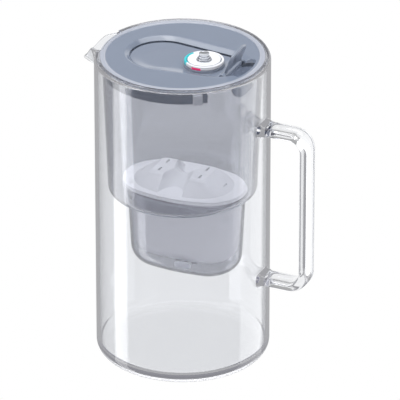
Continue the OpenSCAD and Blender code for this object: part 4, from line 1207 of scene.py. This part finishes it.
class PITCHER_OT_indicator(bpy.types.Operator):
    """Makes the filter change indicator: face, ring, lights, reset button and battery parts"""

    bl_idname = "pitcher.indicator"
    bl_label = "Indicator"

    def execute(self, context):
        sizes, finish = context.scene.pitcher_indicator, context.scene.pitcher_finishes
        x = sizes.centre / MM
        white = moulded("gloss_white_styrene", finish.face, 0.18, 0.9, 0.03, 0.015, 0.3)
        chrome = metal("satin_chrome", "#C9CCD2", 0.16, (1, 1, 12), 0.5, 0.01)
        dial = turned(face_profile(sizes), x, 128)
        solid("indicator_dial", dial, "flap", white, ["indicator_face"], along=True)
        collar, button = turned(collar_profile(sizes), x), turned(button_profile(sizes), x)
        solid("button_collar", collar, "flap", chrome, along=True)
        solid("button_cap", button, "button", chrome, ["reset_button"])
        outer, base = sizes.radius / MM, low("light_ring")[2]
        section = rounded_section(outer - 2.0, outer, base, base + 3.0, 0.85, 7)
        teal = lit_window("teal_light_window", finish.ready, 0.45)
        pink = lit_window("magenta_light_window", finish.change, 0.6)
        window = rounded_section(outer - 2.0, outer, base, base + 1.45, 0.35, 5)
        cover = rounded_section(outer - 2.0, outer, base + 1.5, base + 3.0, 0.7, 6)
        for name, start, end, bar_section, bar_finish, slot, replaced in (
            ("ring_long", 284.15, 509.85, section, white, "indicator_white", ["light_ring"]),
            ("ring_short", 230.15, 255.85, section, white, "indicator_white", []),
            ("ring_over_window", 255.85, 284.15, cover, white, "indicator_white", []),
            ("ring_ready", 150.0, 230.0, section, teal, "teal_window", ["ready_light"]),
            ("ring_change", 256.0, 284.0, window, pink, "magenta_window", ["change_light"]),
        ):
            bar = swept_bar(bar_section, start, end, max(12, int((end - start) / 2)), x)
            solid(name, bar, "flap", bar_finish, replaced)
        paint(moulded("grey_styrene_housing", "#9AA1AE", 0.4), "indicator_cup", "battery_cover")
        wire = metal("spring_steel_wire", "#B9BCC2", 0.22)
        coil = solid("button_coil", spring_grid(sizes), "flap", wire, ["button_spring"])
        # the button's travel is 1 mm, and the spring gives way by as much
        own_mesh(coil)
        paint(metal("nickel_plated_steel", "#C9CACD", 0.28, (12, 1, 1)), "coin_cell")
        paint(metal("spring_brass", "#C8A660", 0.3, (1, 20, 1)), "battery_contact")
        paint(moulded("black_nitrile_ring", "#26272A", 0.6, 0.25, 0.2, 0.05), "cover_seal")
        paint(moulded("led_resin", "#E8E4C8", 0.25, 0.3, 0.05), "led_chips")
        paint(solder_mask(), "circuit_board")
        return {"FINISHED"}


def ray_kinds(tree):
    """Two shares by kind of ray. The first is 1 where the backdrop is plain white, seen by the camera or
    through clear material, and 0.35 for a ray mirrored more than once inside glass. The second is 1
    after a single reflection, which shows the studio with its cards and darker ground."""
    path = add_node(tree, "LightPath").outputs

    def math(operation, first, second):
        return add_node(tree, "Math", {0: first, 1: second}, operation=operation).outputs[0]

    straight = math("MAXIMUM", path["Is Camera Ray"], path["Is Transmission Ray"])
    mirrored = math("GREATER_THAN", path["Glossy Depth"], 0.5)
    more = math("GREATER_THAN", path["Glossy Depth"], 1.5)
    once = math("SUBTRACT", mirrored, more)
    plain = math("SUBTRACT", straight, once)
    return math("MAXIMUM", plain, math("MULTIPLY", more, 0.35)), once


def glow_card(name, centre, width, height, strength, facing):
    """A tall card beside the object that only single reflections see: width across facing, height
    upright."""
    side = facing.cross(Vector((0, 0, 1))).normalized() * (width / 2)
    tall = Vector((0, 0, height / 2))
    corners = [tuple(centre + a * side + b * tall) for a, b in ((-1, -1), (1, -1), (1, 1), (-1, 1))]
    made, tree = new_material(name)
    once = ray_kinds(tree)[1]
    nothing = add_node(tree, "BsdfTransparent")
    glow = add_node(tree, "Emission", {"Color": grey(1.0), "Strength": strength})
    mix = add_node(tree, "MixShader", {0: once, 1: nothing, 2: glow})
    add_node(tree, "OutputMaterial", {"Surface": mix})
    card = staged(name, corners, made)
    card.visible_camera = card.visible_diffuse = card.visible_shadow = False


def staged(name, corners, finish):
    """A flat piece of the stage: one face with its corners in metres."""
    mesh = bpy.data.meshes.new(name)
    mesh.from_pydata(corners, [], [list(range(len(corners)))])
    made = bpy.data.objects.new(name, mesh)
    bpy.context.scene.collection.objects.link(made)
    mesh.materials.append(finish)
    return made


class PITCHER_OT_stage(bpy.types.Operator):
    """Makes the pale floor, the soft lamps, the reflection cards, the world and the camera"""

    bl_idname = "pitcher.stage"
    bl_label = "Stage"

    def execute(self, context):
        scene = context.scene
        made, tree = new_material("white_paper_floor")
        plain, once = ray_kinds(tree)
        paper = add_node(tree, "BsdfDiffuse", {"Color": linear("#F4F4F5")})
        bright = add_node(tree, "Emission", {"Color": grey(1.0), "Strength": 1.0})
        mix = add_node(tree, "MixShader", {0: plain, 1: paper, 2: bright})
        nothing = add_node(tree, "BsdfTransparent")
        open_ground = add_node(tree, "MixShader", {0: once, 1: mix, 2: nothing})
        add_node(tree, "OutputMaterial", {"Surface": open_ground})
        t = np.linspace(0, 2 * np.pi, 96, endpoint=False)
        points = np.stack([6 * np.cos(t), 6 * np.sin(t), np.full(96, -0.0004)], 1)
        staged("floor", points.tolist(), made).visible_glossy = False

        # The world is white to the camera and through glass. A reflection sees a darker ground, a bright
        # horizon, dim walls and a bright ceiling. Diffuse light comes mostly from the ceiling.
        world = bpy.data.worlds.new("studio")
        scene.world = world
        world.use_nodes = True
        tree = world.node_tree
        tree.nodes.clear()
        plain, once = ray_kinds(tree)
        height = add_node(tree, "SeparateXYZ", {0: add_node(tree, "TexCoord").outputs["Generated"]}).outputs[2]
        share = add_node(tree, "MapRange", {0: height, 1: -1.0, 2: 1.0, 3: 0.0, 4: 1.0})
        walls = [(0.47, grey(1.0)), (0.62, grey(1.0)), (0.71, grey(0.4)), (0.85, grey(0.5))]
        seen = add_node(tree, "ValToRGB", {0: share}, [(0.40, grey(0.45, 0.01)), *walls, (1.0, grey(1.7))])
        light = add_node(tree, "ValToRGB", {0: share}, [(0.62, grey(0.16, 0.01)), (1.0, grey(1.5, 0.02))])
        both = add_node(tree, "Mix", {0: once, 6: light, 7: seen}, data_type="RGBA").outputs[2]
        soft = add_node(tree, "Background", {"Color": both, "Strength": 1.0})
        white = add_node(tree, "Background", {"Color": grey(1.0), "Strength": 1.0})
        mix = add_node(tree, "MixShader", {0: plain, 1: soft, 2: white})
        add_node(tree, "OutputWorld", {"Surface": mix})

        for name, place, size, power in LAMPS:
            lamp = bpy.data.lights.new(name, "AREA")
            lamp.shape = "RECTANGLE"
            lamp.size, lamp.size_y = size
            lamp.energy = power
            softbox = bpy.data.objects.new(name, lamp)
            softbox.location = place
            softbox.rotation_mode = "QUATERNION"
            softbox.rotation_quaternion = (Vector((0, 0, 0.13)) - Vector(place)).to_track_quat("-Z", "Y")
            softbox.visible_camera = False
            scene.collection.objects.link(softbox)

        a, e = np.radians(CAMERA_AZIMUTH), np.radians(CAMERA_ELEVATION)
        back = Vector((np.sin(a) * np.cos(e), -np.cos(a) * np.cos(e), np.sin(e)))
        right = Vector((np.cos(a), np.sin(a), 0))
        ahead = Vector((np.sin(a), -np.cos(a), 0))
        for name, degrees, width, strength in CARDS:
            q = np.radians(degrees)
            towards = ahead * np.cos(q) + right * np.sin(q)
            glow_card(name, Vector((0, 0, 0.02)) + towards * 0.38, width, 1.0, strength, towards)
        view = bpy.data.cameras.new("view")
        camera = bpy.data.objects.new("view", view)
        scene.collection.objects.link(camera)
        scene.camera = camera
        aim = Vector((0, 0, 0.126)) + right * 0.0134 + back.cross(right) * 0.0015
        camera.location = aim + back * CAMERA_DISTANCE
        camera.rotation_mode = "QUATERNION"
        camera.rotation_quaternion = (-back).to_track_quat("-Z", "Y")
        view.sensor_width = 36.0
        view.lens = 473.2
        view.clip_start, view.clip_end = 0.1, 100.0
        scene.view_settings.view_transform = "Standard"
        return {"FINISHED"}


class PITCHER_PT_panel(bpy.types.Panel):
    """Lists the pitcher's pieces in the sidebar"""

    bl_label = "Filter pitcher"
    bl_idname = "PITCHER_PT_panel"
    bl_space_type = "VIEW_3D"
    bl_region_type = "UI"
    bl_category = "Pitcher"

    def draw(self, context):
        for operator in OPERATORS:
            self.layout.operator(operator.bl_idname, text=operator.bl_label)


OPERATORS = (
    PITCHER_OT_stage,
    PITCHER_OT_glass,
    PITCHER_OT_hopper,
    PITCHER_OT_cartridge,
    PITCHER_OT_lid,
    PITCHER_OT_flap,
    PITCHER_OT_indicator,
)
GROUPS = {
    "pitcher_jug": JugSizes,
    "pitcher_hopper": HopperSizes,
    "pitcher_cartridge": CartridgeSizes,
    "pitcher_lid": LidSizes,
    "pitcher_indicator": IndicatorSizes,
    "pitcher_finishes": Finishes,
}
CLASSES = (*GROUPS.values(), *OPERATORS, PITCHER_PT_panel)


def register():
    for item in CLASSES:
        bpy.utils.register_class(item)
    for name, group in GROUPS.items():
        setattr(bpy.types.Scene, name, bpy.props.PointerProperty(type=group))


def unregister():
    for name in GROUPS:
        delattr(bpy.types.Scene, name)
    for item in reversed(CLASSES):
        bpy.utils.unregister_class(item)


def main():
    register()
    bpy.ops.pitcher.stage()
    bpy.ops.pitcher.glass()
    bpy.ops.pitcher.hopper()
    bpy.ops.pitcher.cartridge()
    bpy.ops.pitcher.lid()
    bpy.ops.pitcher.flap()
    bpy.ops.pitcher.indicator()


if __name__ == "__main__":
    main()
